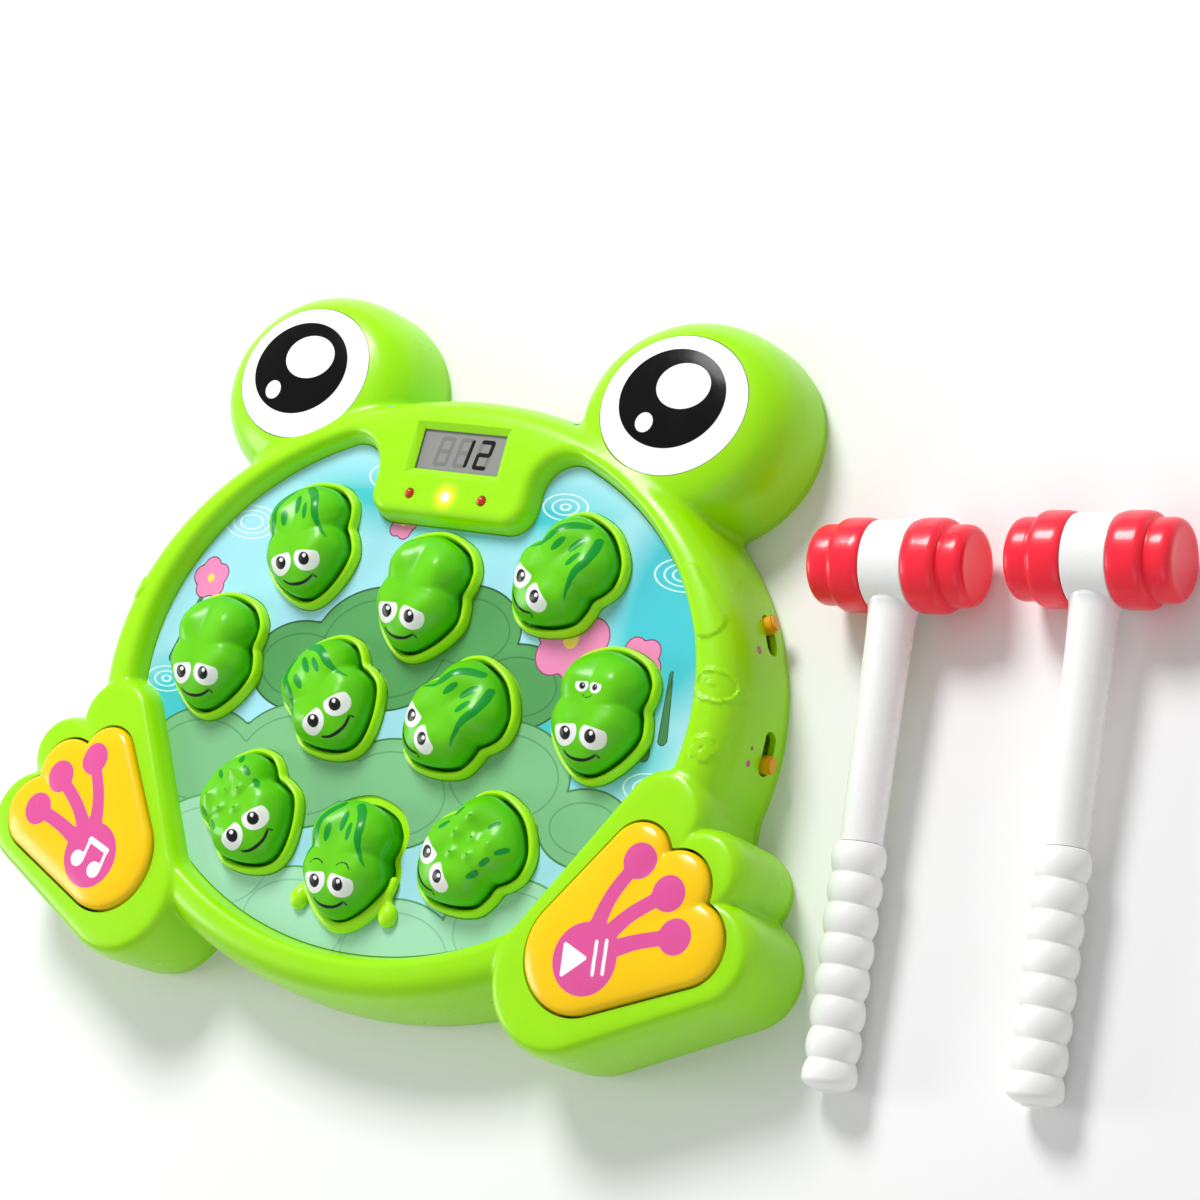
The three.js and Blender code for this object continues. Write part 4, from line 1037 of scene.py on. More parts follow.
class CasingForm:
    """The casing's outer form as a distance in space"""

    def __init__(self):
        plan_low, plan_high = (-166, -114), (166, 148)
        opening = opening_outline()
        self.opening = Chart(plan_low, plan_high, 0.8, lambda x, y: outline_gap(x, y, opening))
        self.foot = Chart((40, -114), (166, 0), 0.6, foot_gap)
        self.relief = Chart(plan_low, plan_high, 0.6, relief_gap)
        self.body_profile = self.profile(BODY_CURVE, BODY_RADIUS - CREST_RADIUS, RIM_TOP)
        self.foot_profile = self.profile(FOOT_CURVE, FOOT_ROUND, FOOT_TOP)
        mean = sum(POD_RADII) / 2
        pod_curve = [(mean - mean * share, up) for share, up in POD_CURVE]
        self.pod_profile = self.profile(pod_curve, 1, POD_TOP)

    @staticmethod
    def profile(curve, scale, top):
        edge = [(-inward * scale, SEAM + upward * (top - SEAM)) for inward, upward in curve]
        line = smooth_path(edge, 6)
        corners = np.concatenate([[(0, -60)], line, [(-200, top), (-200, -60)]])
        return Chart((-60, -12), (60, 60), 0.4, lambda x, y: outline_gap(x, y, corners))

    def body(self, x, y, z):
        gap = ellipse_gap(x, y, (0, 0), (BODY_RADIUS, BODY_RADIUS * BODY_RATIO))
        return self.body_profile.at(gap, z)

    def pods(self, x, y, z):
        mean = sum(POD_RADII) / 2
        share = np.hypot((np.abs(x) - POD_CENTRE[0]) / POD_RADII[0], (y - POD_CENTRE[1]) / POD_RADII[1])
        return self.pod_profile.at((share - 1) * mean, z)

    def feet(self, x, y, z):
        return self.foot_profile.at(self.foot.at(np.abs(x), y), z)

    def opening_cut(self, x, y, z):
        grow = np.interp(z, [WALL_FOOT, RIM_TOP - RIDGE_ROUND, RIM_TOP + OVER], [-OPENING_DRAFT, 0, 0.5])
        return self.opening.at(x, y) - grow

    def filled(self, points):
        """The casing as if it were solid, with the opening cut right through"""
        x, y, z = points[..., 0], points[..., 1], points[..., 2]
        raised = RELIEF_HEIGHT * np.clip(0.5 - self.relief.at(x, y) / RELIEF_SLOPE, 0, 1)
        rim = blend_in(self.body(x, y, z) - raised, self.pods(x, y, z), FORM_BLEND)
        rim = blend_out(rim, -self.opening_cut(x, y, z), 2 * RIDGE_ROUND)
        outer = blend_in(rim, self.feet(x, y, z), FOOT_BLEND)
        return blend_out(outer, SEAM - z, EDGE_BLEND)

    def hollow(self, points):
        """What is hollow under the casing's wall, down past the seam"""
        x, y, z = points[..., 0], points[..., 1], points[..., 2]
        under = np.minimum(self.body(x, y, z), self.pods(x, y, z) + EYE_PLATE / 2) + WALL
        inner_wall = np.maximum(self.opening.at(x, y) - WALL, WALL_FOOT - z)
        deck_radii = (DECK_RADIUS + SEAT, DECK_RADIUS * BODY_RATIO + SEAT)
        deck_room = np.maximum(ellipse_gap(x, y, (0, 0), deck_radii), z - WALL_FOOT)
        under = np.minimum.reduce([np.maximum(under, -inner_wall), deck_room, self.feet(x, y, z) + WALL])
        return np.maximum(under, -z)

    def plan(self, points):
        """The casing's outline as an upright block, for the cover under it"""
        x, y, z = points[..., 0], points[..., 1], points[..., 2]
        gap = blend_in(self.body(x, y, SEAM), self.pods(x, y, SEAM), FORM_BLEND)
        gap = blend_in(gap, self.feet(x, y, SEAM + OVER), FORM_BLEND)
        return np.maximum(gap + COVER_INSET, np.abs(z - COVER_PLATE / 2) - OVER)


def dome_patch(outline, top, bottom, rings=24):
    """A form over an outline round its centre, between two height functions"""
    centre = outline.mean(0)
    shares = np.linspace(1, 0, rings + 1)[:-1]
    inner = [centre + (outline - centre) * share for share in shares]
    low = [np.column_stack([ring, bottom(ring[:, 0], ring[:, 1])]) for ring in inner[::-1]]
    high = [np.column_stack([ring, top(ring[:, 0], ring[:, 1])]) for ring in inner]
    return loft([*low, *high])


def door_outline():
    """The outline of the battery door's hole, with its tabs and the ear for its screw"""
    x = DOOR_WIDTH / 2
    y = DOOR_DEPTH / 2
    tab = (DOOR_TAB_X - DOOR_TAB / 2, DOOR_TAB_X + DOOR_TAB / 2)
    ear = np.linspace(math.pi, FULL_TURN, 16)
    side = [(DOOR_EAR, -y), (x, -y), (x, y), (tab[1], y), (tab[1], y + DOOR_TAB_REACH),
            (tab[0], y + DOOR_TAB_REACH), (tab[0], y)]
    mirror = [(-across, deep) for across, deep in reversed(side)]
    curve = [(DOOR_EAR * math.cos(a), DOOR_EAR_Y + DOOR_EAR * math.sin(a)) for a in ear]
    return np.array([*side, *mirror, *curve]) + (0, DOOR_Y)


def merged_copy(name, node, material):
    """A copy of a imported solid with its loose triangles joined"""
    work = bmesh.new()
    work.from_mesh(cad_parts[node].data)
    work.transform(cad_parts[node].matrix_world)
    bmesh.ops.remove_doubles(work, verts=work.verts, dist=1e-6)
    mesh = bpy.data.meshes.new(name)
    work.to_mesh(mesh)
    work.free()
    return place_mesh(name, mesh, material)


def paw_outline(grow):
    """The outline of the right paw, found where its distance is the growth given"""
    angles = np.linspace(0, FULL_TURN, 240, endpoint=False)
    centre = np.array([114.0, -62.0])
    ways = np.column_stack([np.cos(angles), np.sin(angles)])
    near = np.zeros(len(angles))
    far = np.full(len(angles), 60.0)
    for _ in range(30):
        middle = (near + far) / 2
        spots = centre + ways * middle[:, None]
        gap = paw_gap(spots[:, 0], spots[:, 1]) - grow
        near = np.where(gap < 0, middle, near)
        far = np.where(gap < 0, far, middle)
    return centre + ways * near[:, None]


def window_cutter():
    x, y, width, depth = WINDOW
    signs = np.array([(-1, -1), (1, -1), (1, 1), (-1, 1)])
    steps = [
        (0, RIM_TOP - WALL - OVER), (0, RIM_TOP - 0.8 * WALL),
        (WINDOW_BEVEL, RIM_TOP + 0.02), (WINDOW_BEVEL, RIM_TOP + OVER),
    ]
    return loft([at_height(signs * (width / 2 + grow, depth / 2 + grow) + (x, y), z) for grow, z in steps])


def eye_cutter(side):
    outline = ellipse((side * EYE_CENTRE[0], EYE_CENTRE[1]), EYE_RADII)
    return dome_patch(
        outline,
        lambda x, y: np.full(len(x), POD_TOP + OVER),
        lambda x, y: pod_height(x, y) - EYE_PLATE - SEAT,
    )


def mirrored(form, side):
    points, faces = form
    if side > 0:
        return points, faces
    return np.asarray(points) * (-1, 1, 1), [tuple(reversed(face)) for face in faces]


def casing_plastic(settings):
    """Lime plastic with the lit lamp's light painted on round it as a glow, and printed marks by the slide
    switches
    """
    material = moulded("lime_plastic", settings.lime, settings.roughness, soft=0.1, softened=(0.6, 1.0, 0.1))
    net = Wiring(material.node_tree)
    shader = next(node for node in material.node_tree.nodes if node.type == "BSDF_PRINCIPLED")
    under = shader.inputs["Base Color"].links[0].from_socket
    place = net.place()

    def away_from(spot):
        spot = tuple(MM * value for value in spot)
        return net.add("ShaderNodeVectorMath", {0: place, 1: spot}, operation="DISTANCE").outputs["Value"]

    for slot, along, up, radius, filled in SWITCH_MARKS:
        spot = slot_frame(SLOT_ANGLES[slot], along) @ Vector((0, 0, up))
        far = away_from(spot)
        if not filled:
            off_ring = net.math("ABSOLUTE", net.math("SUBTRACT", far, radius * MM))
            far = net.math("ADD", radius * 0.7 * MM, off_ring)
        covered = net.spread(far, (radius + 0.08) * MM, (radius - 0.08) * MM, 0.0, 1.0)
        under = net.mix(covered, under, MARK_COLOUR)
    # Painted light: the lamp's glow on the casing, mixed into its colour and given off by the casing itself
    lamp = (0, LAMP_Y, RIM_TOP)
    painted_glow = net.math("POWER", net.spread(away_from(lamp), GLOW_FAR * MM, GLOW_NEAR * MM, 0.0, 1.0), 2.0)
    lit = net.mix(painted_glow, under, (1.0, 0.72, 0.05, 1))
    material.node_tree.links.new(lit, shader.inputs["Base Color"])
    material.node_tree.links.new(lit, shader.inputs["Emission Color"])
    material.node_tree.links.new(net.math("MULTIPLY", painted_glow, 0.35), shader.inputs["Emission Strength"])
    return material


class FROG_OT_casing(bpy.types.Operator):
    """Builds the front casing: rim, score block, eye pods and feet in one moulding"""

    bl_idname = "frog_game.casing"
    bl_label = "Casing"

    def execute(self, context):
        settings = context.scene.frog_casing
        material = casing_plastic(settings)
        form = CasingForm()
        low = (*CASING_LOW, -3.4)
        high = (*CASING_HIGH, 39)
        casing = piece("casing", skin(form.filled, low, high, SKIN_PITCH), material)
        cut_from(casing, [skin(form.hollow, low, high, HOLLOW_PITCH)])
        paw_hole = prism(paw_outline(PAW_GAP), WALL_FOOT, FOOT_TOP + OVER)
        lamp_holes = [
            disc((x, LAMP_Y), LAMP_RADIUS + SEAT, RIM_TOP - WALL - OVER, RIM_TOP + OVER, 24)
            for x in LAMPS.values()
        ]
        slots = [
            moved(slot_prism(SLOT_LENGTH, SLOT_HEIGHT, -6, 4), slot_frame(angle, 0))
            for angle in SLOT_ANGLES.values()
        ]
        cut_from(casing, [
            *(mirrored(paw_hole, side) for side in (-1, 1)),
            *lamp_holes,
            *slots,
            window_cutter(),
            *(eye_cutter(side) for side in (-1, 1)),
        ])
        follow_form(casing, form.filled)
        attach(casing, "console")
        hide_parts("front_shell")
        self.add_cover(form, material)
        finish_nodes(material, "battery_door")
        return {"FINISHED"}

    @staticmethod
    def add_cover(form, material):
        """The back cover: a smooth plate with its holes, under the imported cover's raised parts"""
        low = (*CASING_LOW, -5)
        high = (*CASING_HIGH, 8)
        plate = piece("cover_plate", skin(form.plan, low, high, COVER_PITCH), material)
        square = np.array([(-200, -200), (200, -200), (200, 200), (-200, 200)])
        cut_from(plate, [prism(square, 0, COVER_PLATE)], "INTERSECT")
        cut_from(plate, [prism(door_outline(), -OVER, 2 * OVER)])
        speaker_spots = [POD_CENTRE, *ellipse(POD_CENTRE, (SOUND_RING, SOUND_RING), 6)]
        cut_from(plate, [
            *(disc(spot, WELL_BORE, -OVER, 2 * OVER) for spot in CASE_SCREWS),
            *(disc((-x, y), SOUND_HOLE, -OVER, 2 * OVER) for x, y in speaker_spots),
        ])
        raised = merged_copy("cover_parts", "back_cover", material)
        cut_from(raised, [prism(square, -OVER, COVER_PLATE)])
        join_into(plate, raised)
        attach(plate, "console")
        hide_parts("back_cover")


# Deck and pond sheet

class Grower(Wiring):
    """A Geometry Nodes tree with named inputs, which ends in plain geometry with a material"""

    def __init__(self, name, **inputs):
        super().__init__(bpy.data.node_groups.new(name, "GeometryNodeTree"))
        add = self.tree.interface.new_socket
        for way in ("INPUT", "OUTPUT"):
            add("Geometry", in_out=way, socket_type="NodeSocketGeometry")
        inputs["finish"] = "Material"
        self.sockets = {
            key: add(key, in_out="INPUT", socket_type=f"NodeSocket{kind}").identifier
            for key, kind in inputs.items()
        }
        self.start = self.add("NodeGroupInput").outputs

    def copies(self, shape):
        """The shape on each point of the mesh that comes in"""
        spots = self.add("GeometryNodeMeshToPoints", {"Mesh": self.start["Geometry"]}).outputs[0]
        return self.add("GeometryNodeInstanceOnPoints", {"Points": spots, "Instance": shape}).outputs[0]

    def end(self, shape):
        real = self.add("GeometryNodeRealizeInstances", {"Geometry": shape}).outputs[0]
        done = self.add("GeometryNodeSetMaterial", {"Geometry": real, "Material": self.start["finish"]})
        self.add("NodeGroupOutput", {"Geometry": done.outputs[0]})
        return self


def band_tree():
    """Geometry Nodes: a band with a rounded section along each loop of edges"""
    net = Grower("rounded_band", half_width="Float", rise="Float")
    loops = net.add("GeometryNodeMeshToCurve", {"Mesh": net.start["Geometry"]}).outputs[0]
    loops = net.add("GeometryNodeSetCurveNormal", {"Curve": loops}, mode="Z_UP").outputs[0]
    circle = net.add("GeometryNodeCurvePrimitiveCircle", {"Resolution": 20, "Radius": 1.0}).outputs[0]
    size = net.add("ShaderNodeCombineXYZ", {0: net.start["half_width"], 1: net.start["rise"], 2: 1.0})
    section = net.add("GeometryNodeTransform", {"Geometry": circle, "Scale": size.outputs[0]}).outputs[0]
    return net.end(net.add("GeometryNodeCurveToMesh", {"Curve": loops, "Profile Curve": section}).outputs[0])


def grown(name, points, edges, net, values, crease=CREASE):
    """A plain mesh object made by a Geometry Nodes tree from points and edges"""
    mesh = bpy.data.meshes.new(name)
    mesh.from_pydata((np.asarray(points, float) * MM).tolist(), edges, [])
    thing = bpy.data.objects.new(name, mesh)
    bpy.context.scene.collection.objects.link(thing)
    modifier = thing.modifiers.new("grow", "NODES")
    modifier.node_group = net.tree
    for key, value in values.items():
        modifier[net.sockets[key]] = value
    settle(thing, crease)
    return thing


def join_into(target, *others):
    """Adds the meshes of other objects to the target as separate shells"""
    work = bmesh.new()
    work.from_mesh(target.data)
    for other in others:
        work.from_mesh(other.data)
    work.to_mesh(target.data)
    work.free()
    for other in others:
        bpy.data.objects.remove(other)
    turn_outward(target.data)
    soften(target.data, CREASE)


def free_frog_arms():
    """The bowl lip, arms and thumb-up hands of the free frog"""
    x0, y0, _, _ = FROGS[FREE_FROG]
    outline = placed(head_outline(HEAD_GAP + LIP_WIDTH / 2), FROGS[FREE_FROG])
    front = outline[outline[:, 1] < y0 - BOWL_END]
    front = front[np.argsort(np.arctan2(front[:, 1] - y0, front[:, 0] - x0))]
    path = at_height(front, DECK_TOP + BOWL_MIDDLE)
    thick = np.interp(np.linspace(-1, 1, len(path)), [-1, -0.6, 0.6, 1], BOWL_RADII)

    def measure(points):
        side = np.sign(points[..., 0] - x0)
        local = points - np.array([x0, y0, DECK_TOP])
        local[..., 0] = local[..., 0] * side
        lip = rod_gap(points, path, thick)
        palm = blob_gap(local, *PALM)
        thumb = rod_gap(local, THUMB, THUMB_RADII)
        wrist = rod_gap(local, WRIST, WRIST_RADII)
        hand = blend_in(blend_in(palm, thumb, 1.2), wrist, 1.2)
        return blend_in(lip, hand, 0.8)

    return skin(measure, (x0 - 24, y0 - 25, DECK_TOP - 2.2), (x0 + 24, y0 + 2, DECK_TOP + 6.4), 0.6)


class FROG_OT_deck(bpy.types.Operator):
    """Builds the play deck with a rounded lip round each frog and the free frog's arms"""

    bl_idname = "frog_game.deck"
    bl_label = "Play deck"

    def execute(self, context):
        settings = context.scene.frog_casing
        material = moulded("collar_plastic", settings.collar, 0.28, soft=0.1, softened=(0.6, 1, 0.1))
        plate = prism(ellipse((0, 0), (DECK_RADIUS, DECK_RADIUS * BODY_RATIO), 160), DECK_BOTTOM, DECK_TOP)
        deck = piece("deck", plate, material)
        rooms = [placed(head_outline(HEAD_GAP), frog) for frog in FROGS]
        cut_from(deck, [prism(room, DECK_BOTTOM - OVER, DECK_TOP + OVER) for room in rooms])
        points, edges = [], []
        for number, frog in enumerate(FROGS):
            if number == FREE_FROG:
                continue
            outline = placed(head_outline(HEAD_GAP + LIP_WIDTH / 2), frog)
            first = len(points)
            points.extend(at_height(outline, DECK_TOP + LIP_HEIGHT / 2 - 0.4))
            edges.extend((first + i, first + (i + 1) % len(outline)) for i in range(len(outline)))
        lips = grown("lips", points, edges, band_tree(), {
            "half_width": LIP_WIDTH / 2 * MM,
            "rise": (LIP_HEIGHT / 2 + 0.4) * MM,
            "finish": material,
        })
        arms = piece("arms", free_frog_arms(), material)
        cut_from(arms, [prism(rooms[FREE_FROG], DECK_BOTTOM - OVER, DECK_TOP + 2 * OVER)])
        join_into(deck, lips, arms)
        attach(deck, "console")
        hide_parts("play_deck")
        return {"FINISHED"}


# A generic pond of ripples, round grass clumps, reeds and five-petal blossoms

GRASS_BACK = [(-14, 14, 30), (18, 24, 22), (-46, 4, 22), (44, 8, 20)]
GRASS_FRONT = [(-78, -34, 26), (-36, -30, 30), (6, -34, 26), (48, -22, 26), (84, -34, 18)]
GRASS_LOW = [(-62, -66, 30), (-20, -82, 26), (24, -86, 26), (66, -72, 26)]
BLOSSOMS = [(60, 26, 15, 0.2), (88, 22, 9, 0.9), (-97, 30, 8, 0.5), (-20, 58, 6, 0.1)]
RIPPLES = [(-86, 52, 12), (-30, 74, 10), (44, 70, 9), (96, 52, 11), (-104, -8, 9), (104, -18, 10), (0, 6, 9)]
DEEP_BLUR = 7.0
DEEP_WATER = [((96, 40), (22, 34)), ((-98, -30), (20, 30)), ((0, 66), (60, 9)), ((70, -8), (34, 12))]
REEDS = [(-104, 0, -98, 26), (-99, -4, -94, 20), (99, -8, 94, 24), (104, -2, 101, 20), (-8, -20, -13, 6)]


def clump_gap(x, y, clumps):
    gaps = [ellipse_gap(x, y, (cx, cy), (radius, radius * 0.72)) for cx, cy, radius in clumps]
    return np.minimum.reduce(gaps)


def blossom_gap(x, y):
    petals = [
        circle_gap(x, y, (
            cx + 0.52 * size * math.cos(turn + FULL_TURN * petal / 5),
            cy + 0.52 * size * math.sin(turn + FULL_TURN * petal / 5),
        ), 0.46 * size)
        for cx, cy, size, turn in BLOSSOMS for petal in range(5)
    ]
    return np.minimum.reduce(petals)


def pond_prints(points):
    x, y = points[:, 0], points[:, 1]
    ripples = [(np.hypot((x - cx) / size, (y - cy) / size * 2) - 1) * size / 2 for cx, cy, size in RIPPLES]
    reeds = [line_gap(x, y, [(ax, ay), (bx, by)], [3.4, 1.2]) for ax, ay, bx, by in REEDS]
    cores = [circle_gap(x, y, (cx, cy), size * 0.2) for cx, cy, size, _ in BLOSSOMS]
    deep = [ellipse_gap(x, y, spot, size) for spot, size in DEEP_WATER]
    return {
        "deep": np.minimum.reduce(deep),
        "ripple": np.minimum.reduce(ripples),
        "grass_back": clump_gap(x, y, GRASS_BACK),
        "grass_front": clump_gap(x, y, GRASS_FRONT),
        "grass_low": clump_gap(x, y, GRASS_LOW),
        "reed": np.minimum.reduce(reeds),
        "petal": blossom_gap(x, y),
        "core": np.minimum.reduce(cores),
    }


def pond_print(settings):
    """Printed sheet: water, ripples, grass, reeds and blossoms under a clear lacquer"""
    grass = settings.grass
    dark = shade(grass, 0.25)
    layers = [
        *(("ripple", (0.8, 0.95, 0.98, 1), inset, 0.18) for inset in (0, 1.8, 3.4)),
        ("grass_back", shade(grass, 0.75)),
        ("grass_back", dark, 0, 0.35),
        ("grass_back", shade(grass, 0.5), 4.5, 0.3),
        ("reed", shade(grass, 0.5)),
        ("reed", dark, 0, 0.2),
        ("grass_front", (0.2, 0.5, 0.24, 1)),
        ("grass_front", shade(grass, 0.5), 0, 0.35),
        ("grass_front", (0.12, 0.36, 0.16, 1), 4.5, 0.3),
        ("grass_low", (0.36, 0.68, 0.48, 1)),
        ("grass_low", shade(grass, 0.8), 0, 0.35),
        ("grass_low", (0.24, 0.54, 0.36, 1), 4.5, 0.3),
        ("petal", settings.petal),
        ("petal", shade(settings.petal, 0.3), 0, 0.25),
        ("core", (0.95, 0.7, 0.1, 1)),
    ]
    material = moulded("printed_sheet", settings.water, 0.32, layers, coat=0.2, grain=0.02, tint=0.08)
    recolour(material, lambda net, base: net.mix(net.inside("deep", DEEP_BLUR), base, settings.deep))
    return material


class FROG_OT_pond(bpy.types.Operator):
    """Builds the printed pond sheet between the lips"""

    bl_idname = "frog_game.pond"
    bl_label = "Pond sheet"

    def execute(self, context):
        pitch = 1.3
        points, faces = printed_sheet(
            np.arange(-120, 120 + pitch, pitch), np.arange(-96, 99 + pitch, pitch), SHEET_LOW, SHEET_TOP,
        )
        material = pond_print(context.scene.frog_pond)
        sheet = piece("pond_print", (points, faces), material)
        cut_from(sheet, self.surrounds())
        for key, gaps in pond_prints(points_of(sheet)).items():
            keep_print(sheet, key, gaps)
        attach(sheet, "console")
        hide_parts("pond_sheet")
        return {"FINISHED"}

    @staticmethod
    def surrounds():
        """What is cut from the square sheet: all outside the opening, and the room of each lip"""
        low, high = SHEET_LOW - OVER, SHEET_TOP + OVER
        inner = opening_outline(-OPENING_DRAFT - SEAT)
        centre = inner.mean(0)
        outer = centre + (inner - centre) * 1.8
        points, faces = loft([
            at_height(outline, z) for outline, z in ((inner, low), (inner, high), (outer, high), (outer, low))
        ])
        count = len(inner)
        faces = faces[:-2]
        faces += [(3 * count + i, 3 * count + (i + 1) % count, (i + 1) % count, i) for i in range(count)]
        lips = head_outline(HEAD_GAP + LIP_WIDTH + SEAT)
        return [(points, faces), *(prism(placed(lips, frog), low, high) for frog in FROGS)]


# Frog heads

# Bumps on both sides of each head: along, aside, their spreads, and the share of the brow's height
SIDE_BUMPS = [(8.2, 6.3, 5.4, 4.4, 1), (-10.4, 8.6, 6.2, 4.6, 1.15), (1.6, 11.6, 6.5, 3.4, 0.5)]
CROWN_DENT = (-10.5, 0, 7.0, 2.4, 0.9)
MOUTH_DENT = (14.5, 0, 3.0, 4.0, 0.25)
SMALL_FACE_BUMP = (-9.5, 0, 4.6, 5.4, 1.3)
WART_SPREAD = 1.8
WART_RISE = 0.95
WART_DOT_RADIUS = 0.45
FLECK_RADII = (2.3, 0.9)
WARTS = [(-2.5, -4.6), (-3.4, 5.0), (-7.0, 0.2), (-10.0, -6.0), (-11.4, 5.6), (1.6, 0.6)]
FLECKS = [(-14.6, 0.2), (-6.2, -10.6), (-7.4, 10.2), (-1.4, 10.8), (0.6, -9.8), (-13.6, 9.6)]


# A head's half-lidded eye: the white, its lid, the black and the glint, along and aside
EYE_ALONG = 9.0
WHITE_ASIDE = 5.3
WHITE_RADII = (4.4, 4.7)
LID_BACK = 2.3
LID_TILT = 0.14
LID_ROUND = 0.6
BLACK_AHEAD = 0.5
BLACK_ASIDE = 4.8
BLACK_RADIUS = 2.15
GLINT_BACK = 0.4
GLINT_ASIDE = 0.5
GLINT_RADIUS = 0.75

# Lines printed on the heads
SMILE = [(14.7, -5.6), (16.2, -3.4), (16.9, 0), (16.4, 3.4), (14.6, 6.4)]
SMILE_END = [(13.7, 5.7), (15.1, 7.1)]
BROW = [(3.6, 2.6), (2.4, 4.6), (2.6, 6.8), (4.4, 8.4)]
SMALL_GRIN = [(-3.4, -1.8), (-2.6, 0), (-3.4, 1.8)]
SMALL_EYE_ALONG = -6.4
SMALL_EYE_SCALE = 0.5
FLANK_STRIPE = [(-17.6, 3.4), (-14.5, 6.4), (-10.5, 8.3), (-6, 8.6), (-2, 9.6), (2.4, 12.4)]
DASHES = [((-11.6, 0.2), (3.6, 1.35)), ((-8.2, 4.2), (3.2, 1.2)), ((-7.0, -4.2), (3.2, 1.2))]


def head_bumps(kind, u, v, brow):
    """Rise over the plain dome at places in the head's own frame"""
    def bump(cu, cv, spread_u, spread_v, rise):
        return rise * np.exp(-((u - cu) / spread_u) ** 2 - ((v - cv) / spread_v) ** 2)

    rise = sum(
        bump(along, side * aside, *spreads, share * brow)
        for along, aside, *spreads, share in SIDE_BUMPS for side in (-1, 1)
    )
    rise = rise - bump(*CROWN_DENT) - bump(*MOUTH_DENT)
    if kind == "warty":
        for cu, cv in WARTS:
            rise = rise + bump(cu, cv, WART_SPREAD, WART_SPREAD, WART_RISE)
    if kind == "carrier":
        rise = rise + bump(*SMALL_FACE_BUMP)
    return rise


def mirrored_gap(measure, v):
    """The nearer of a shape and its mirror image across the head's middle"""
    return np.minimum(measure(v), measure(-v))


def stripe_gap(u, v):
    flank = smooth_path(FLANK_STRIPE, 6)
    widths = np.interp(np.linspace(0, 1, len(flank)), [0, 0.2, 0.6, 1], [2.4, 2.9, 2.6, 0.3])
    gap = mirrored_gap(lambda side: line_gap(u, side, flank, widths), v)
    for centre, radii in DASHES:
        gap = np.minimum(gap, ellipse_gap(u, v, centre, radii))
    return gap


def eye_gaps(u, v, centre_u=EYE_ALONG, scale=1.0):
    """White, black and glint of both half-lidded eyes"""
    along = (u - centre_u) / scale
    aside = v / scale

    def white(side):
        oval = ellipse_gap(along, side, (0, WHITE_ASIDE), WHITE_RADII)
        lid = LID_TILT * (side - WHITE_ASIDE) - LID_BACK - along
        return blend_out(oval, lid, LID_ROUND)

    def black(side):
        return circle_gap(along, side, (BLACK_AHEAD, BLACK_ASIDE), BLACK_RADIUS)

    glints = [
        circle_gap(along, aside, (-GLINT_BACK, middle + GLINT_ASIDE), GLINT_RADIUS)
        for middle in (-BLACK_ASIDE, BLACK_ASIDE)
    ]
    return {
        "white": scale * mirrored_gap(white, aside),
        "black": scale * mirrored_gap(black, aside),
        "glint": scale * np.minimum(*glints),
    }


def head_prints(kind, u, v, top):
    far = np.full(u.shape, NO_PRINT)
    gaps = eye_gaps(u, v)
    smile = smooth_path(SMILE, 8)
    mouth = line_gap(u, v, smile, np.interp(np.linspace(-1, 1, len(smile)), [-1, 0, 1], [0.6, 1.05, 0.6]))
    tick = line_gap(u, v, SMILE_END, 0.7)
    gaps["black"] = np.minimum.reduce([gaps["black"], mouth, tick])
    gaps["stripe"] = far
    if kind in ("striped", "browed"):
        gaps["stripe"] = stripe_gap(u, v)
    if kind == "warty":
        dots = [circle_gap(u, v, spot, WART_DOT_RADIUS) for spot in WARTS]
        flecks = [ellipse_gap(u, v, spot, FLECK_RADII) for spot in FLECKS]
        gaps["stripe"] = np.minimum.reduce([*dots, *flecks])
    if kind == "browed":
        brow = smooth_path(BROW, 6)
        gaps["black"] = np.minimum(gaps["black"], mirrored_gap(lambda side: line_gap(u, side, brow, 0.5), v))
    if kind == "carrier":
        small = eye_gaps(u, v, SMALL_EYE_ALONG, SMALL_EYE_SCALE)
        grin = line_gap(u, v, smooth_path(SMALL_GRIN, 6), 0.4)
        gaps = {key: np.minimum(gap, small.get(key, far)) for key, gap in gaps.items()}
        gaps["black"] = np.minimum(gaps["black"], grin)
    hidden = top < HEAD_EDGE - 0.5
    return {key: np.where(hidden, NO_PRINT, gap) for key, gap in gaps.items()}


def head_form(kind, brow):
    """A head with its face along +X at the origin, and its prints"""
    outline = head_outline(0, 6)
    rings = [
        at_height(head_outline(HEAD_FLANGE, 6), HEAD_FLANGE_LOW),
        at_height(head_outline(HEAD_FLANGE, 6), HEAD_FLANGE_TOP),
        at_height(outline, HEAD_FLANGE_TOP),
        at_height(outline, HEAD_EDGE),
    ]
    for share, up in smooth_path(HEAD_CURVE, 6)[1:]:
        spots = outline * share
        height = HEAD_EDGE + HEAD_DOME * up
        fade = 1 - min(share, 1) ** 6
        rise = fade * head_bumps(kind, spots[:, 0], spots[:, 1], brow)
        rings.append(np.column_stack([spots, height + rise]))
    apex_rise = head_bumps(kind, np.zeros(1), np.zeros(1), brow)[0]
    points, faces = capped_loft(rings, (0, 0, HEAD_EDGE + HEAD_DOME + apex_rise))
    stem = disc((0, 0), 3, HEAD_STEM_LOW, HEAD_FLANGE_LOW + SEAT, 24)
    points, faces = together([(points, faces), stem])
    return points, faces, head_prints(kind, points[:, 0], points[:, 1], points[:, 2])


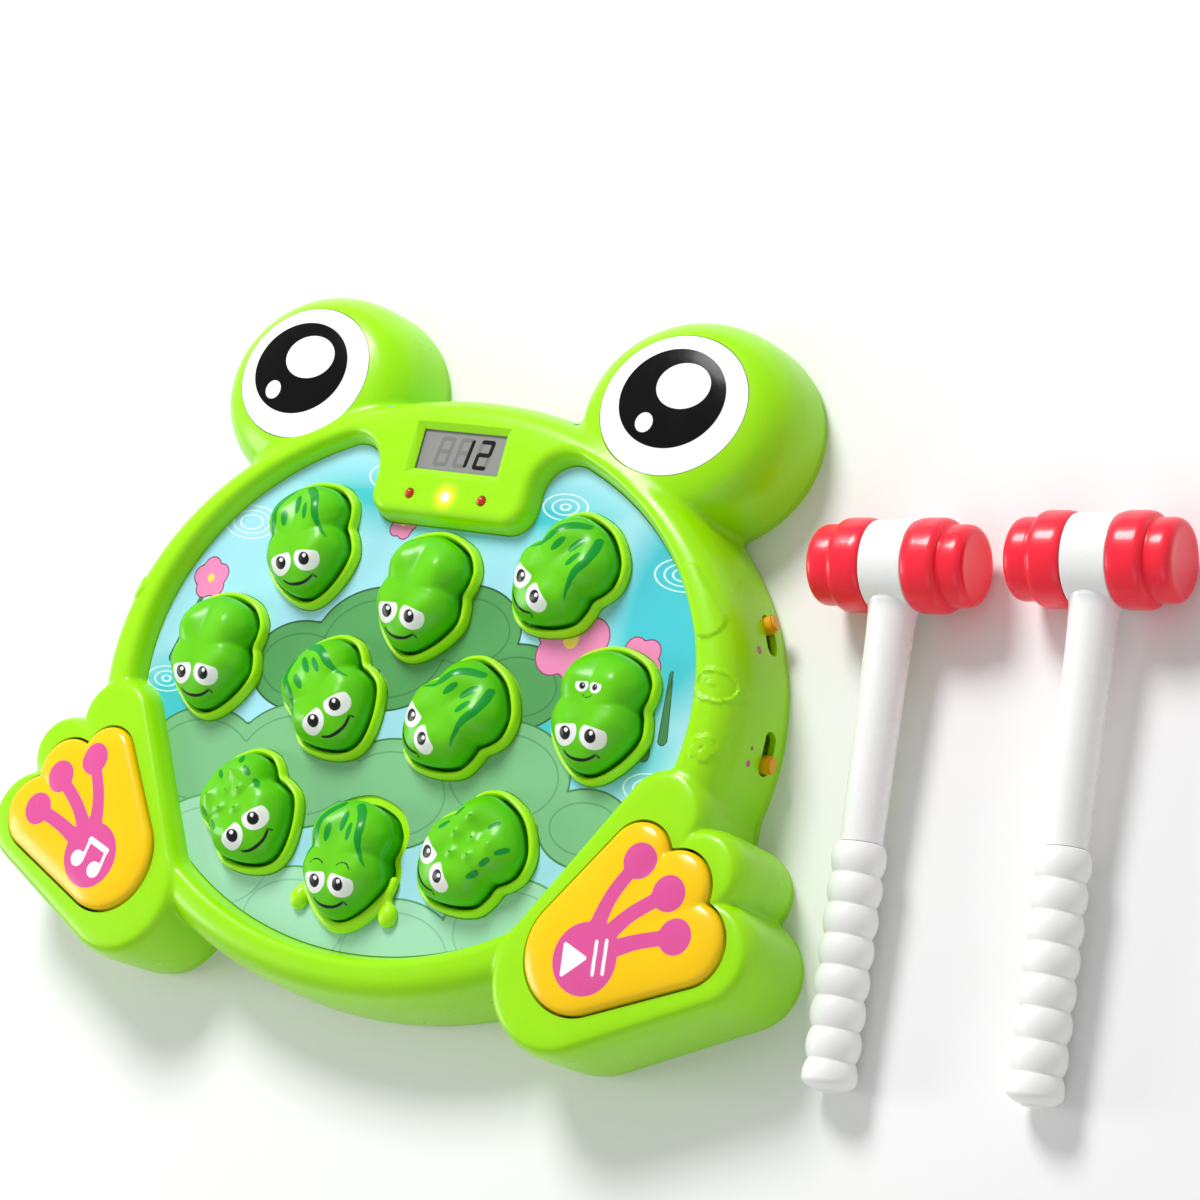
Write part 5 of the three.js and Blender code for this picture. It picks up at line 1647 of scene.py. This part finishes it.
def head_plastic(settings):
    """Green plastic with painted light, lighter towards the crown as if lit from above, with the printed face
    and stripes
    """
    material = moulded("frog_plastic", settings.skin, 0.32, [
        ("stripe", settings.stripe),
        ("white", (0.88, 0.9, 0.88, 1)),
        ("black", (0.006, 0.006, 0.006, 1)),
        ("glint", (0.95, 0.95, 0.95, 1)),
    ], coat=0.08, soft=0.12, softened=(0.4, 1.0, 0.1))

    def painted_crown_light(net, base):
        # Painted light: the colour turns to the lighter crown green with height, as if the top were lit
        height = net.add("ShaderNodeSeparateXYZ", {0: net.place()}).outputs[2]
        share = net.spread(height, (HEAD_EDGE - 1) * MM, (HEAD_EDGE + HEAD_DOME) * MM, 0.0, 1.0)
        return net.mix(share, base, settings.crown)

    recolour(material, painted_crown_light)
    return material


class FROG_OT_heads(bpy.types.Operator):
    """Builds the ten frog heads with their printed faces"""

    bl_idname = "frog_game.heads"
    bl_label = "Frog heads"

    def execute(self, context):
        settings = context.scene.frog_heads
        material = head_plastic(settings)
        for number, frog in enumerate(FROGS, 1):
            points, faces, prints = head_form(frog[3], settings.brow / MM)
            points[:, :2] = placed(points[:, :2], frog)
            head = piece(f"frog_head_{number}", (points, faces), material, prints)
            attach(head, f"frog_{number}")
            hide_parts(f"frog_{number}")
        return {"FINISHED"}


# Big eyes

# Printed on each eye: the pupil, its large highlight, both as centre and radii, and the small one
EYE_PRINTS = {
    -1: (((-79.0, 108.2), (20.4, 17.2)), ((-75.7, 112.3), (10.6, 8.0)), ((-88.1, 99.2), 3.4)),
    1: (((77.9, 108.8), (20.2, 17.4)), ((81.4, 113.1), (10.2, 8.0)), ((70.1, 99.6), 3.4)),
}


class FROG_OT_eyes(bpy.types.Operator):
    """Builds the two white eye inserts with their printed pupils"""

    bl_idname = "frog_game.eyes"
    bl_label = "Eyes"

    def execute(self, context):
        material = moulded("eye_plastic", (0.93, 0.93, 0.93, 1), 0.2, [
            ("black", (0.004, 0.004, 0.004, 1)),
            ("glint", (0.95, 0.95, 0.95, 1)),
        ], coat=0.03, tint=0.01, shine=0.1)
        for side, name in ((-1, "left_eye"), (1, "right_eye")):
            outline = ellipse((side * EYE_CENTRE[0], EYE_CENTRE[1]), [r - SEAT for r in EYE_RADII], 128)
            points, faces = dome_patch(
                outline, pod_height, lambda x, y: pod_height(x, y) - EYE_PLATE, rings=40,
            )
            x, y = points[:, 0], points[:, 1]
            pupil, glint, spot = EYE_PRINTS[side]
            prints = {
                "black": ellipse_gap(x, y, *pupil),
                "glint": np.minimum(ellipse_gap(x, y, *glint), circle_gap(x, y, *spot)),
            }
            eye = piece(f"{name}_insert", (points, faces), material, prints)
            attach(eye, "console")
            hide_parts(name)
        return {"FINISHED"}


# Paw buttons

def paw_measure(points):
    x, y, z = points[..., 0], points[..., 1], points[..., 2]
    gap = paw_gap(x, y)
    inward = np.clip(-gap / PAW_CROWN_REACH, 0, 1)
    crown = PAW_EDGE + (PAW_TOP - PAW_EDGE) * np.sqrt(1 - (1 - inward) ** PAW_CROWN_FULLNESS)
    cap = blend_out(blend_out(gap, z - crown, PAW_EDGE_ROUND), PAW_LOW - z, PAW_LOW_ROUND)
    flange = np.maximum.reduce([
        gap - PAW_GAP - PAW_FLANGE, foot_gap(x, y) + PAW_FLANGE_INSET, z - PAW_FLANGE_TOP, PAW_LOW - z,
    ])
    return np.minimum(cap, flange)


def paw_figure(x, y, side):
    """The printed figure: a heel dot with an icon, joined by curved stems to three toe dots"""
    across = x * side
    heart = np.array(HEEL_DOT[:2])
    figure = circle_gap(across, y, heart, HEEL_DOT[2])
    for spot, bend in zip(TOE_DOTS, TOE_STEM_BENDS):
        spot = np.array(spot)
        middle = (heart + spot) / 2 + bend
        stem = smooth_path([heart, middle, spot], 10)
        width = np.interp(np.linspace(0, 1, len(stem)), [0, 0.5, 1], TOE_STEM_WIDTHS)
        figure = np.minimum.reduce([
            figure, circle_gap(across, y, spot, TOE_DOT_RADIUS), line_gap(across, y, stem, width),
        ])
    return figure


def play_icon(x, y):
    hx, hy, _ = HEEL_DOT
    turn = math.radians(14)
    across = (x - hx) * math.cos(turn) + (y - hy) * math.sin(turn)
    deep = (y - hy) * math.cos(turn) - (x - hx) * math.sin(turn)
    triangle = outline_gap(across, deep, np.array([(-8.2, -4.6), (0.4, 0.2), (-7.2, 5.4)])) - 0.5
    bars = [line_gap(across, deep, [(place, -5.2), (place + 1.2, 5.2)], 1.3) for place in (3.0, 6.6)]
    return np.minimum.reduce([triangle, *bars])


def music_icon(x, y):
    hx, hy, _ = HEEL_DOT
    across = x + hx
    deep = y - hy
    heads = [circle_gap(across, deep, (-5.2, -2.0), 2.9), circle_gap(across, deep, (3.4, -4.8), 2.9)]
    stems = [
        line_gap(across, deep, [(-2.8, -2.0), (-1.4, 5.6)], 1.3),
        line_gap(across, deep, [(5.8, -4.8), (7.0, 2.6)], 1.3),
        line_gap(across, deep, [(-1.4, 5.2), (7.0, 2.4)], 2.2),
    ]
    return np.minimum.reduce([*heads, *stems])


class FROG_OT_paws(bpy.types.Operator):
    """Builds the two paw buttons with their printed figures"""

    bl_idname = "frog_game.paws"
    bl_label = "Paw buttons"

    def execute(self, context):
        settings = context.scene.frog_paws
        material = moulded("paw_plastic", settings.plastic, 0.22, [
            ("figure", settings.figure),
            ("icon", (0.93, 0.93, 0.93, 1)),
        ], coat=0.15, soft=0.1, softened=(1.0, 0.5, 0.1))
        right = skin(paw_measure, (74, -100, PAW_LOW - 2), (156, -24, PAW_TOP + 2), 0.9)
        stem = disc(PAW_STEM[:2], PAW_STEM[2], PAW_STEM_LOW, PAW_LOW + SEAT, 24)
        right = together([right, stem])
        for side, name, icon in ((-1, "music_button", music_icon), (1, "play_button", play_icon)):
            points, faces = mirrored(right, side)
            x, y, z = points[:, 0], points[:, 1], points[:, 2]
            hidden = z < FOOT_TOP
            prints = {
                "figure": np.where(hidden, NO_PRINT, paw_figure(x, y, side)),
                "icon": np.where(hidden, NO_PRINT, icon(x, y)),
            }
            paw = piece(f"{name}_cap", (points, faces), material, prints)
            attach(paw, name)
            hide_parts(name)
        return {"FINISHED"}


# Score display and lamps

SEGMENTS = {
    "a": ((-0.42, 1), (0.42, 1)),
    "b": ((0.5, 0.92), (0.5, 0.08)),
    "c": ((0.5, -0.08), (0.5, -0.92)),
    "d": ((-0.42, -1), (0.42, -1)),
    "e": ((-0.5, -0.08), (-0.5, -0.92)),
    "f": ((-0.5, 0.92), (-0.5, 0.08)),
    "g": ((-0.42, 0), (0.42, 0)),
}
DIGITS = [(-7.4, ""), (0.8, "bc"), (9.2, "abged")]
DIGIT_HALF_HEIGHT = 4.6
DIGIT_WIDTH = 4.9
DIGIT_SLANT = 0.14
SEGMENT_REACH_SHARE = 0.94
SEGMENT_WIDTH = 1.5


def segment_gap(x, y, centre_x, letters):
    """Slanted bars of one figure of the display"""
    best = np.full(x.shape, 9.0)
    across = (x - centre_x - DIGIT_SLANT * (y - WINDOW[1])) / DIGIT_WIDTH
    deep = (y - WINDOW[1]) / DIGIT_HALF_HEIGHT
    for letter in letters:
        (ax, ay), (bx, by) = SEGMENTS[letter]
        start = (ax * SEGMENT_REACH_SHARE * DIGIT_WIDTH, ay * DIGIT_HALF_HEIGHT)
        end = (bx * SEGMENT_REACH_SHARE * DIGIT_WIDTH, by * DIGIT_HALF_HEIGHT)
        bar = line_gap(across * DIGIT_WIDTH, deep * DIGIT_HALF_HEIGHT, [start, end], SEGMENT_WIDTH)
        best = np.minimum(best, bar)
    return best


class FROG_OT_display(bpy.types.Operator):
    """Builds the grey score display and the three lamps"""

    bl_idname = "frog_game.display"
    bl_label = "Score display"

    def execute(self, context):
        self.add_glass()
        lit = lamp_plastic("lit_lamp", (1.0, 0.75, 0.35), 2.6)
        red = lamp_plastic("red_lamp", (0.62, 0.006, 0.006), 0.08)
        for name, x in LAMPS.items():
            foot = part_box(name)[0].z / MM
            shoulder = RIM_TOP - WALL - SEAT
            dome = [
                (LAMP_RADIUS * math.cos(a), RIM_TOP + LAMP_PROUD - LAMP_RADIUS * (1 - math.sin(a)))
                for a in np.linspace(0, math.pi / 2, 12)[:-1]
            ]
            profile = [
                (0, foot), (LAMP_FLANGE, foot), (LAMP_FLANGE, shoulder), (LAMP_RADIUS, shoulder),
                *dome, (0, RIM_TOP + LAMP_PROUD),
            ]
            form = moved(turned(profile, 32), Matrix.Translation((x, LAMP_Y, 0)))
            lamp = piece(f"{name}_lamp", form, lit if name == "middle_led" else red)
            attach(lamp, "console")
            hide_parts(name)
        return {"FINISHED"}

    @staticmethod
    def add_glass():
        material = moulded("display_glass", (0.27, 0.27, 0.262, 1), 0.12, [
            ("ghost", (0.2, 0.2, 0.195, 1)),
            ("segment", (0.006, 0.006, 0.006, 1)),
        ], coat=0.1, grain=0.0, tint=0.03)
        low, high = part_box("score_display")
        xs = np.linspace(low.x, high.x, 150) / MM
        ys = np.linspace(low.y, high.y, 68) / MM
        points, faces = printed_sheet(xs, ys, low.z / MM, high.z / MM)
        x, y = points[:, 0], points[:, 1]
        segments = np.minimum.reduce([segment_gap(x, y, place, letters) for place, letters in DIGITS])
        ghosts = np.minimum.reduce([segment_gap(x, y, place, SEGMENTS) for place, _ in DIGITS])
        glass = piece("display_glass", (points, faces), material, {"ghost": ghosts, "segment": segments})
        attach(glass, "console")
        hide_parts("score_display")


# Slide switches

class FROG_OT_switches(bpy.types.Operator):
    """Builds the two ochre slide knobs in the right wall"""

    bl_idname = "frog_game.switches"
    bl_label = "Slide switches"

    def execute(self, context):
        material = moulded("knob_plastic", (0.73, 0.35, 0.0, 1), 0.32)
        height = SLOT_HEIGHT - 0.8
        for name, angle in SLOT_ANGLES.items():
            forms = [
                slot_prism(KNOB_LENGTH, height, KNOB_LOW, KNOB_PROUD - 0.8),
                slot_prism(KNOB_LENGTH - 1, height - 1, KNOB_PROUD - 0.9, KNOB_PROUD),
                slot_prism(KNOB_LENGTH + 4, height + 2, KNOB_LOW, KNOB_FLANGE_TOP),
            ]
            matrix = slot_frame(angle, KNOB_REST[name])
            knob = piece(f"{name}_button", moved(together(forms), matrix), material)
            body = "power_knob" if name == "power_switch" else "volume_knob"
            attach(knob, body)
            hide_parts(f"{name}_knob")
        return {"FINISHED"}


# Springs, screws and inner parts

def spring_tree():
    """Geometry Nodes: one coil spring of round wire on each point"""
    net = Grower("coil_spring", radius="Float", height="Float", turns="Float", wire="Float")
    start = net.start
    coil = net.add("GeometryNodeCurveSpiral", {
        "Resolution": 22, "Rotations": start["turns"], "Start Radius": start["radius"],
        "End Radius": start["radius"], "Height": start["height"],
    }).outputs[0]
    half = net.math("MULTIPLY", start["wire"], 0.5)
    section = net.add("GeometryNodeCurvePrimitiveCircle", {"Resolution": 8, "Radius": half}).outputs[0]
    wire = net.add("GeometryNodeCurveToMesh", {"Curve": coil, "Profile Curve": section, "Fill Caps": True})
    return net.end(net.copies(wire.outputs[0]))


class FROG_OT_springs(bpy.types.Operator):
    """Builds the coil springs under the heads and the paws"""

    bl_idname = "frog_game.springs"
    bl_label = "Springs"

    def execute(self, context):
        settings = context.scene.frog_springs
        material = metal("spring_wire", (0.62, 0.64, 0.66, 1), 0.22)
        tree = spring_tree()
        radius = SPRING_RADIUS * MM - settings.wire / 2
        jobs = [
            (f"frog_{number}", f"frog_spring_{number}", x, y, SPRING_LOW, SPRING_HIGH, HEAD_TRAVEL)
            for number, (x, y, _, _) in enumerate(FROGS, 1)
        ]
        for side, name in ((-1, "music_button"), (1, "play_button")):
            x, y = side * PAW_STEM[0], PAW_STEM[1]
            jobs.append((name, f"{name}_spring", x, y, PAW_SPRING_LOW, PAW_SPRING_HIGH, PAW_TRAVEL))
        for name, node, x, y, low, high, travel in jobs:
            length = (high - low) * MM - settings.wire
            coil = grown(f"{node}_coil", [(x, y, low + settings.wire / 2 / MM)], [], tree, {
                "radius": radius,
                "height": length,
                "turns": settings.turns,
                "wire": settings.wire,
                "finish": material,
            })
            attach(coil, "console")
            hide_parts(node)
            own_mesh(coil)
        return {"FINISHED"}


def screw_tree():
    """Geometry Nodes: a round-head screw with a cross slot on each point"""
    net = Grower("screw", head="Float", shank="Float", length="Float", turn="Float")
    start = net.start
    thick = net.math("MULTIPLY", start["head"], 0.45)
    top_radius = net.math("MULTIPLY", start["head"], 0.72)
    head = net.add("GeometryNodeMeshCone", {
        "Vertices": 20, "Radius Top": top_radius, "Radius Bottom": start["head"], "Depth": thick,
    }).outputs["Mesh"]
    slot_wide = net.math("MULTIPLY", start["head"], 1.1)
    slot_thin = net.math("MULTIPLY", start["head"], 0.24)
    slots = []
    for first, second in ((slot_wide, slot_thin), (slot_thin, slot_wide)):
        size = net.add("ShaderNodeCombineXYZ", {0: first, 1: second, 2: thick}).outputs[0]
        cube = net.add("GeometryNodeMeshCube", {"Size": size}).outputs["Mesh"]
        lift = net.add("ShaderNodeCombineXYZ", {2: thick}).outputs[0]
        slots.append(net.add("GeometryNodeTransform", {"Geometry": cube, "Translation": lift}).outputs[0])
    cut = net.add("GeometryNodeMeshBoolean", {"Mesh 1": head}, operation="DIFFERENCE")
    for slot in slots:
        net.tree.links.new(slot, cut.inputs["Mesh 2"])
    shank = net.add("GeometryNodeMeshCylinder", {
        "Vertices": 12, "Radius": start["shank"], "Depth": start["length"],
    }).outputs["Mesh"]
    drop = net.add("ShaderNodeCombineXYZ", {2: net.math("MULTIPLY", start["length"], -0.5)}).outputs[0]
    shank = net.add("GeometryNodeTransform", {"Geometry": shank, "Translation": drop}).outputs[0]
    whole = net.add("GeometryNodeJoinGeometry")
    for part in (cut.outputs[0], shank):
        net.tree.links.new(part, whole.inputs[0])
    spin = net.add("ShaderNodeCombineXYZ", {0: start["turn"]}).outputs[0]
    screw = net.add("GeometryNodeTransform", {"Geometry": whole.outputs[0], "Rotation": spin}).outputs[0]
    return net.end(net.copies(screw))


class FROG_OT_screws(bpy.types.Operator):
    """Builds the case, deck and board screws"""

    bl_idname = "frog_game.screws"
    bl_label = "Screws"

    def execute(self, context):
        material = metal("screw_steel", (0.6, 0.61, 0.63, 1), 0.3)
        tree = screw_tree()
        angles = np.radians(DECK_SCREW_ANGLES)
        deck_spots = DECK_SCREW_RADIUS * np.column_stack([np.cos(angles), BODY_RATIO * np.sin(angles)])
        groups = [
            ("case_screws", CASE_SCREWS, CASE_SCREW_SEAT, 11.5, math.pi),
            ("deck_screws", deck_spots, DECK_BOTTOM, 7.0, math.pi),
            ("board_screws", BOARD_SCREWS, BOARD_TOP, 5.5, 0.0),
        ]
        for name, spots, z, length, turn in groups:
            screws = grown(name, at_height(spots, z), [], tree, {
                "head": SCREW_HEAD * MM,
                "shank": SCREW_SHANK * MM,
                "length": length * MM,
                "turn": turn,
                "finish": material,
            })
            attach(screws, "console")
        finish_nodes(material, "battery_door_screw")
        return {"FINISHED"}


class FROG_OT_inside(bpy.types.Operator):
    """Finishes the boards, switches, speaker, cells and contacts"""

    bl_idname = "frog_game.inside"
    bl_label = "Inner parts"

    def execute(self, context):
        boards = ("main_board", "display_board", "music_button_switch", "play_button_switch")
        finish_nodes(circuit_board(), *boards)
        plated = metal("plated_steel", (0.66, 0.66, 0.64, 1), 0.3)
        finish_nodes(plated, "power_switch_can", "volume_switch_can", *(
            f"battery_contact_{name}" for name in ("negative", "left_pair", "right_pair", "positive")
        ))
        sleeve = moulded("cell_sleeve", (0.03, 0.1, 0.26, 1), 0.3)
        finish_nodes(sleeve, "battery_1", "battery_2", "battery_3")
        finish_nodes(moulded("speaker_frame", (0.02, 0.02, 0.022, 1), 0.5), "speaker")
        return {"FINISHED"}


# Hammers

def grip_tree():
    """Geometry Nodes: a rod along an edge, swollen into even bulges with narrow waists"""
    net = Grower("bulged_grip", waist="Float", swell="Float", bulges="Int")
    start = net.start
    line = net.add("GeometryNodeMeshToCurve", {"Mesh": start["Geometry"]}).outputs[0]
    line = net.add("GeometryNodeResampleCurve", {"Curve": line, "Count": 161}).outputs[0]
    along = net.add("GeometryNodeSplineParameter").outputs["Factor"]
    turns = net.math("MULTIPLY", along, start["bulges"])
    wave = net.math("ABSOLUTE", net.math("SINE", net.math("MULTIPLY", turns, math.pi)))
    swell = net.math("MULTIPLY", net.math("POWER", wave, 0.75), start["swell"])
    radius = net.math("ADD", swell, start["waist"])
    near_end = net.spread(along, 0.955, 1.0, 0.0, 1.0)
    fall = net.math("SQRT", net.math("SUBTRACT", 1.0, net.math("MULTIPLY", near_end, near_end)))
    radius = net.math("MULTIPLY", radius, net.math("MAXIMUM", fall, 0.5))
    circle = net.add("GeometryNodeCurvePrimitiveCircle", {"Resolution": 56, "Radius": 1.0}).outputs[0]
    rod = net.add("GeometryNodeCurveToMesh", {
        "Curve": line, "Profile Curve": circle, "Scale": radius, "Fill Caps": True,
    }).outputs[0]
    return net.end(rod)


def hammer_frame(place):
    tilt = math.asin((STRIKER_RADIUS - GRIP_RADIUS) / HAMMER_LENGTH)
    turn = Matrix.Rotation(math.radians(HAMMER_TURN), 4, "Z") @ Matrix.Rotation(tilt, 4, "X")
    return Matrix.Translation((place[0], place[1], STRIKER_RADIUS)) @ turn


def striker_form(side):
    """A soft striker: a drum with rolled edges, a groove and a smaller crowned face"""
    outer = smooth_path([
        (14.3, 7.7), (14.6, 8.3), (14.95, 10.0), (15.0, 12.0), (15.0, 15.5), (14.8, 17.0), (14.2, 18.1),
        (13.2, 18.7), (12.75, 18.9), (12.7, 19.3), (12.85, 20.2), (12.95, 22.0), (12.9, 24.2), (12.4, 25.8),
        (11.2, 26.8), (9.8, 27.0), (7.0, 26.7),
    ], 4)
    profile = [(0, 20.0), (9.3, 20.0), (9.3, 7.6), (14.1, 7.6), *map(tuple, outer), (0, 26.5)]
    return moved(turned(profile, 72), Matrix.Rotation(side * math.pi / 2, 4, "Y"))


def handle_form():
    """The white hub with its band, and the tapered shaft down to the grip's core"""
    band = smooth_path([
        (13.7, -7.3), (14.15, -7.05), (14.3, -6.4), (14.3, 0), (14.3, 6.4), (14.15, 7.05), (13.7, 7.3),
    ], 5)
    hub = turned([(0, -12), (9, -12), (9, -7.3), *map(tuple, band), (9, 7.3), (9, 12), (0, 12)], 72)
    hub = moved(hub, Matrix.Rotation(math.pi / 2, 4, "Y"))
    shaft = smooth_path([(8.6, 12.6), (7.9, 14.6), (7.55, 18), (7.3, 26), (7.0, 50), (6.7, 86.5)], 6)
    shaft = turned([(0, 4), (8.6, 4), *map(tuple, shaft), (6.7, 88), (5.2, 88), (5.2, 156), (0, 156)], 56)
    shaft = moved(shaft, Matrix.Rotation(math.pi / 2, 4, "X"))
    return together([hub, shaft])


class FROG_OT_hammers(bpy.types.Operator):
    """Builds the two toy hammers"""

    bl_idname = "frog_game.hammers"
    bl_label = "Hammers"

    def execute(self, context):
        settings = context.scene.frog_hammers
        red = moulded("striker_vinyl", settings.red, 0.3, coat=0.25, soft=0.15, softened=(1.0, 0.1, 0.1))
        white = moulded("handle_plastic", settings.white, 0.26, tint=0.01, coat=0.4)
        foam = moulded("grip_plastic", settings.white, 0.42, tint=0.015, coat=0.1, grain=0.12)
        tree = grip_tree()
        for number, place in enumerate(HAMMERS, 1):
            matrix = hammer_frame(place)
            name = f"hammer_{number}"
            for side, word in ((-1, "left"), (1, "right")):
                striker = piece(f"{name}_{word}_head", moved(striker_form(side), matrix), red, crease=50)
                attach(striker, name)
                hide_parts(f"{name}_{word}_striker")
            handle = piece(f"{name}_shaft", moved(handle_form(), matrix), white, crease=50)
            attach(handle, name)
            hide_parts(f"{name}_handle")
            reaches = (HAMMER_LENGTH - GRIP_LENGTH + SEAT, HAMMER_LENGTH)
            ends = [tuple(matrix @ Vector((0, -reach, 0))) for reach in reaches]
            grip = grown(f"{name}_bulged_grip", ends, [(0, 1)], tree, {
                "waist": GRIP_WAIST * MM,
                "swell": (GRIP_RADIUS - GRIP_WAIST) * MM,
                "bulges": settings.bulges,
                "finish": foam,
            }, crease=70)
            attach(grip, name)
            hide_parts(f"{name}_grip")
        return {"FINISHED"}


# Floor, lights and camera

CAMERA_PLACE = (639.7, -148.8, 846.7)
CAMERA_RIGHT = (0.819, 0.253, -0.515)
CAMERA_FORWARD = (-0.563, 0.186, -0.805)
CAMERA_LENS = 94.3
FLOOR_HALF = 3000
WORLD_STRENGTH = 0.45

# Lights, in metres: name, place, size and power
LIGHT_TARGET = (0.03, 0.0, 0.02)
LIGHTS = [
    ("key", (-0.35, 0.9, 1.0), 0.5, 16.5),
    ("side", (-1.2, -0.35, 0.6), 0.6, 5.5),
    ("fill", (0.6, -1.0, 0.8), 0.9, 1.8),
]


def floor_paint():
    material, net = new_material("pale_floor")
    place = net.place()
    surface = net.mix(net.noise(place, 3.0), (0.86, 0.86, 0.86, 1), (0.9, 0.9, 0.9, 1))
    net.finish({"Base Color": surface, "Roughness": 0.7})
    return material


def add_light(name, place, size, power):
    light = bpy.data.lights.new(name, "AREA")
    light.shape = "DISK"
    light.size = size
    light.energy = power
    thing = bpy.data.objects.new(name, light)
    thing.location = place
    way = Vector(LIGHT_TARGET) - Vector(place)
    thing.rotation_euler = way.to_track_quat("-Z", "Y").to_euler()
    bpy.context.scene.collection.objects.link(thing)


class FROG_OT_stage(bpy.types.Operator):
    """Builds the floor, the lights and the camera"""

    bl_idname = "frog_game.stage"
    bl_label = "Stage"

    def execute(self, context):
        corners = FLOOR_HALF * np.array([(-1, -1), (1, -1), (1, 1), (-1, 1)])
        floor = piece("floor", (at_height(corners, -0.02), [(0, 1, 2, 3)]), floor_paint())
        world = bpy.data.worlds.new("studio")
        world.use_nodes = True
        background = world.node_tree.nodes["Background"].inputs
        background["Color"].default_value = (1, 1, 1, 1)
        background["Strength"].default_value = WORLD_STRENGTH
        context.scene.world = world
        context.scene.view_settings.view_transform = "Standard"
        for light in LIGHTS:
            add_light(*light)
        self.add_camera(context)
        return {"FINISHED"}

    @staticmethod
    def add_camera(context):
        data = bpy.data.cameras.new("view")
        data.lens = CAMERA_LENS
        data.sensor_width = 36
        data.clip_start = 0.05
        camera = bpy.data.objects.new("view", data)
        forward = Vector(CAMERA_FORWARD).normalized()
        right = Vector(CAMERA_RIGHT)
        right = (right - forward * right.dot(forward)).normalized()
        up = right.cross(forward)
        turn = Matrix((right, up, -forward)).transposed().to_4x4()
        camera.matrix_world = Matrix.Translation(Vector(CAMERA_PLACE) * MM) @ turn
        context.scene.collection.objects.link(camera)
        context.scene.camera = camera


class FROG_PT_panel(bpy.types.Panel):
    """Lists the pieces of the frog pounding game and their settings"""

    bl_idname = "FROG_PT_panel"
    bl_label = "Frog pounding game"
    bl_space_type = "VIEW_3D"
    bl_region_type = "UI"
    bl_category = "Frog game"

    def draw(self, context):
        for key, group in SETTINGS.items():
            box = self.layout.box()
            for name in group.__annotations__:
                box.prop(getattr(context.scene, key), name)
        for operator in OPERATORS:
            self.layout.operator(operator.bl_idname)


OPERATORS = [
    FROG_OT_casing,
    FROG_OT_deck,
    FROG_OT_pond,
    FROG_OT_heads,
    FROG_OT_eyes,
    FROG_OT_paws,
    FROG_OT_display,
    FROG_OT_switches,
    FROG_OT_springs,
    FROG_OT_screws,
    FROG_OT_inside,
    FROG_OT_hammers,
    FROG_OT_stage,
]


def register():
    for key, group in SETTINGS.items():
        bpy.utils.register_class(group)
        setattr(bpy.types.Scene, key, PointerProperty(type=group))
    for operator in OPERATORS:
        bpy.utils.register_class(operator)
    bpy.utils.register_class(FROG_PT_panel)


def unregister():
    bpy.utils.unregister_class(FROG_PT_panel)
    for operator in reversed(OPERATORS):
        bpy.utils.unregister_class(operator)
    for key, group in SETTINGS.items():
        delattr(bpy.types.Scene, key)
        bpy.utils.unregister_class(group)


def main():
    register()
    bpy.ops.frog_game.casing()
    bpy.ops.frog_game.deck()
    bpy.ops.frog_game.pond()
    bpy.ops.frog_game.heads()
    bpy.ops.frog_game.eyes()
    bpy.ops.frog_game.paws()
    bpy.ops.frog_game.display()
    bpy.ops.frog_game.switches()
    bpy.ops.frog_game.springs()
    bpy.ops.frog_game.screws()
    bpy.ops.frog_game.inside()
    bpy.ops.frog_game.hammers()
    bpy.ops.frog_game.stage()


if __name__ == "__main__":
    main()
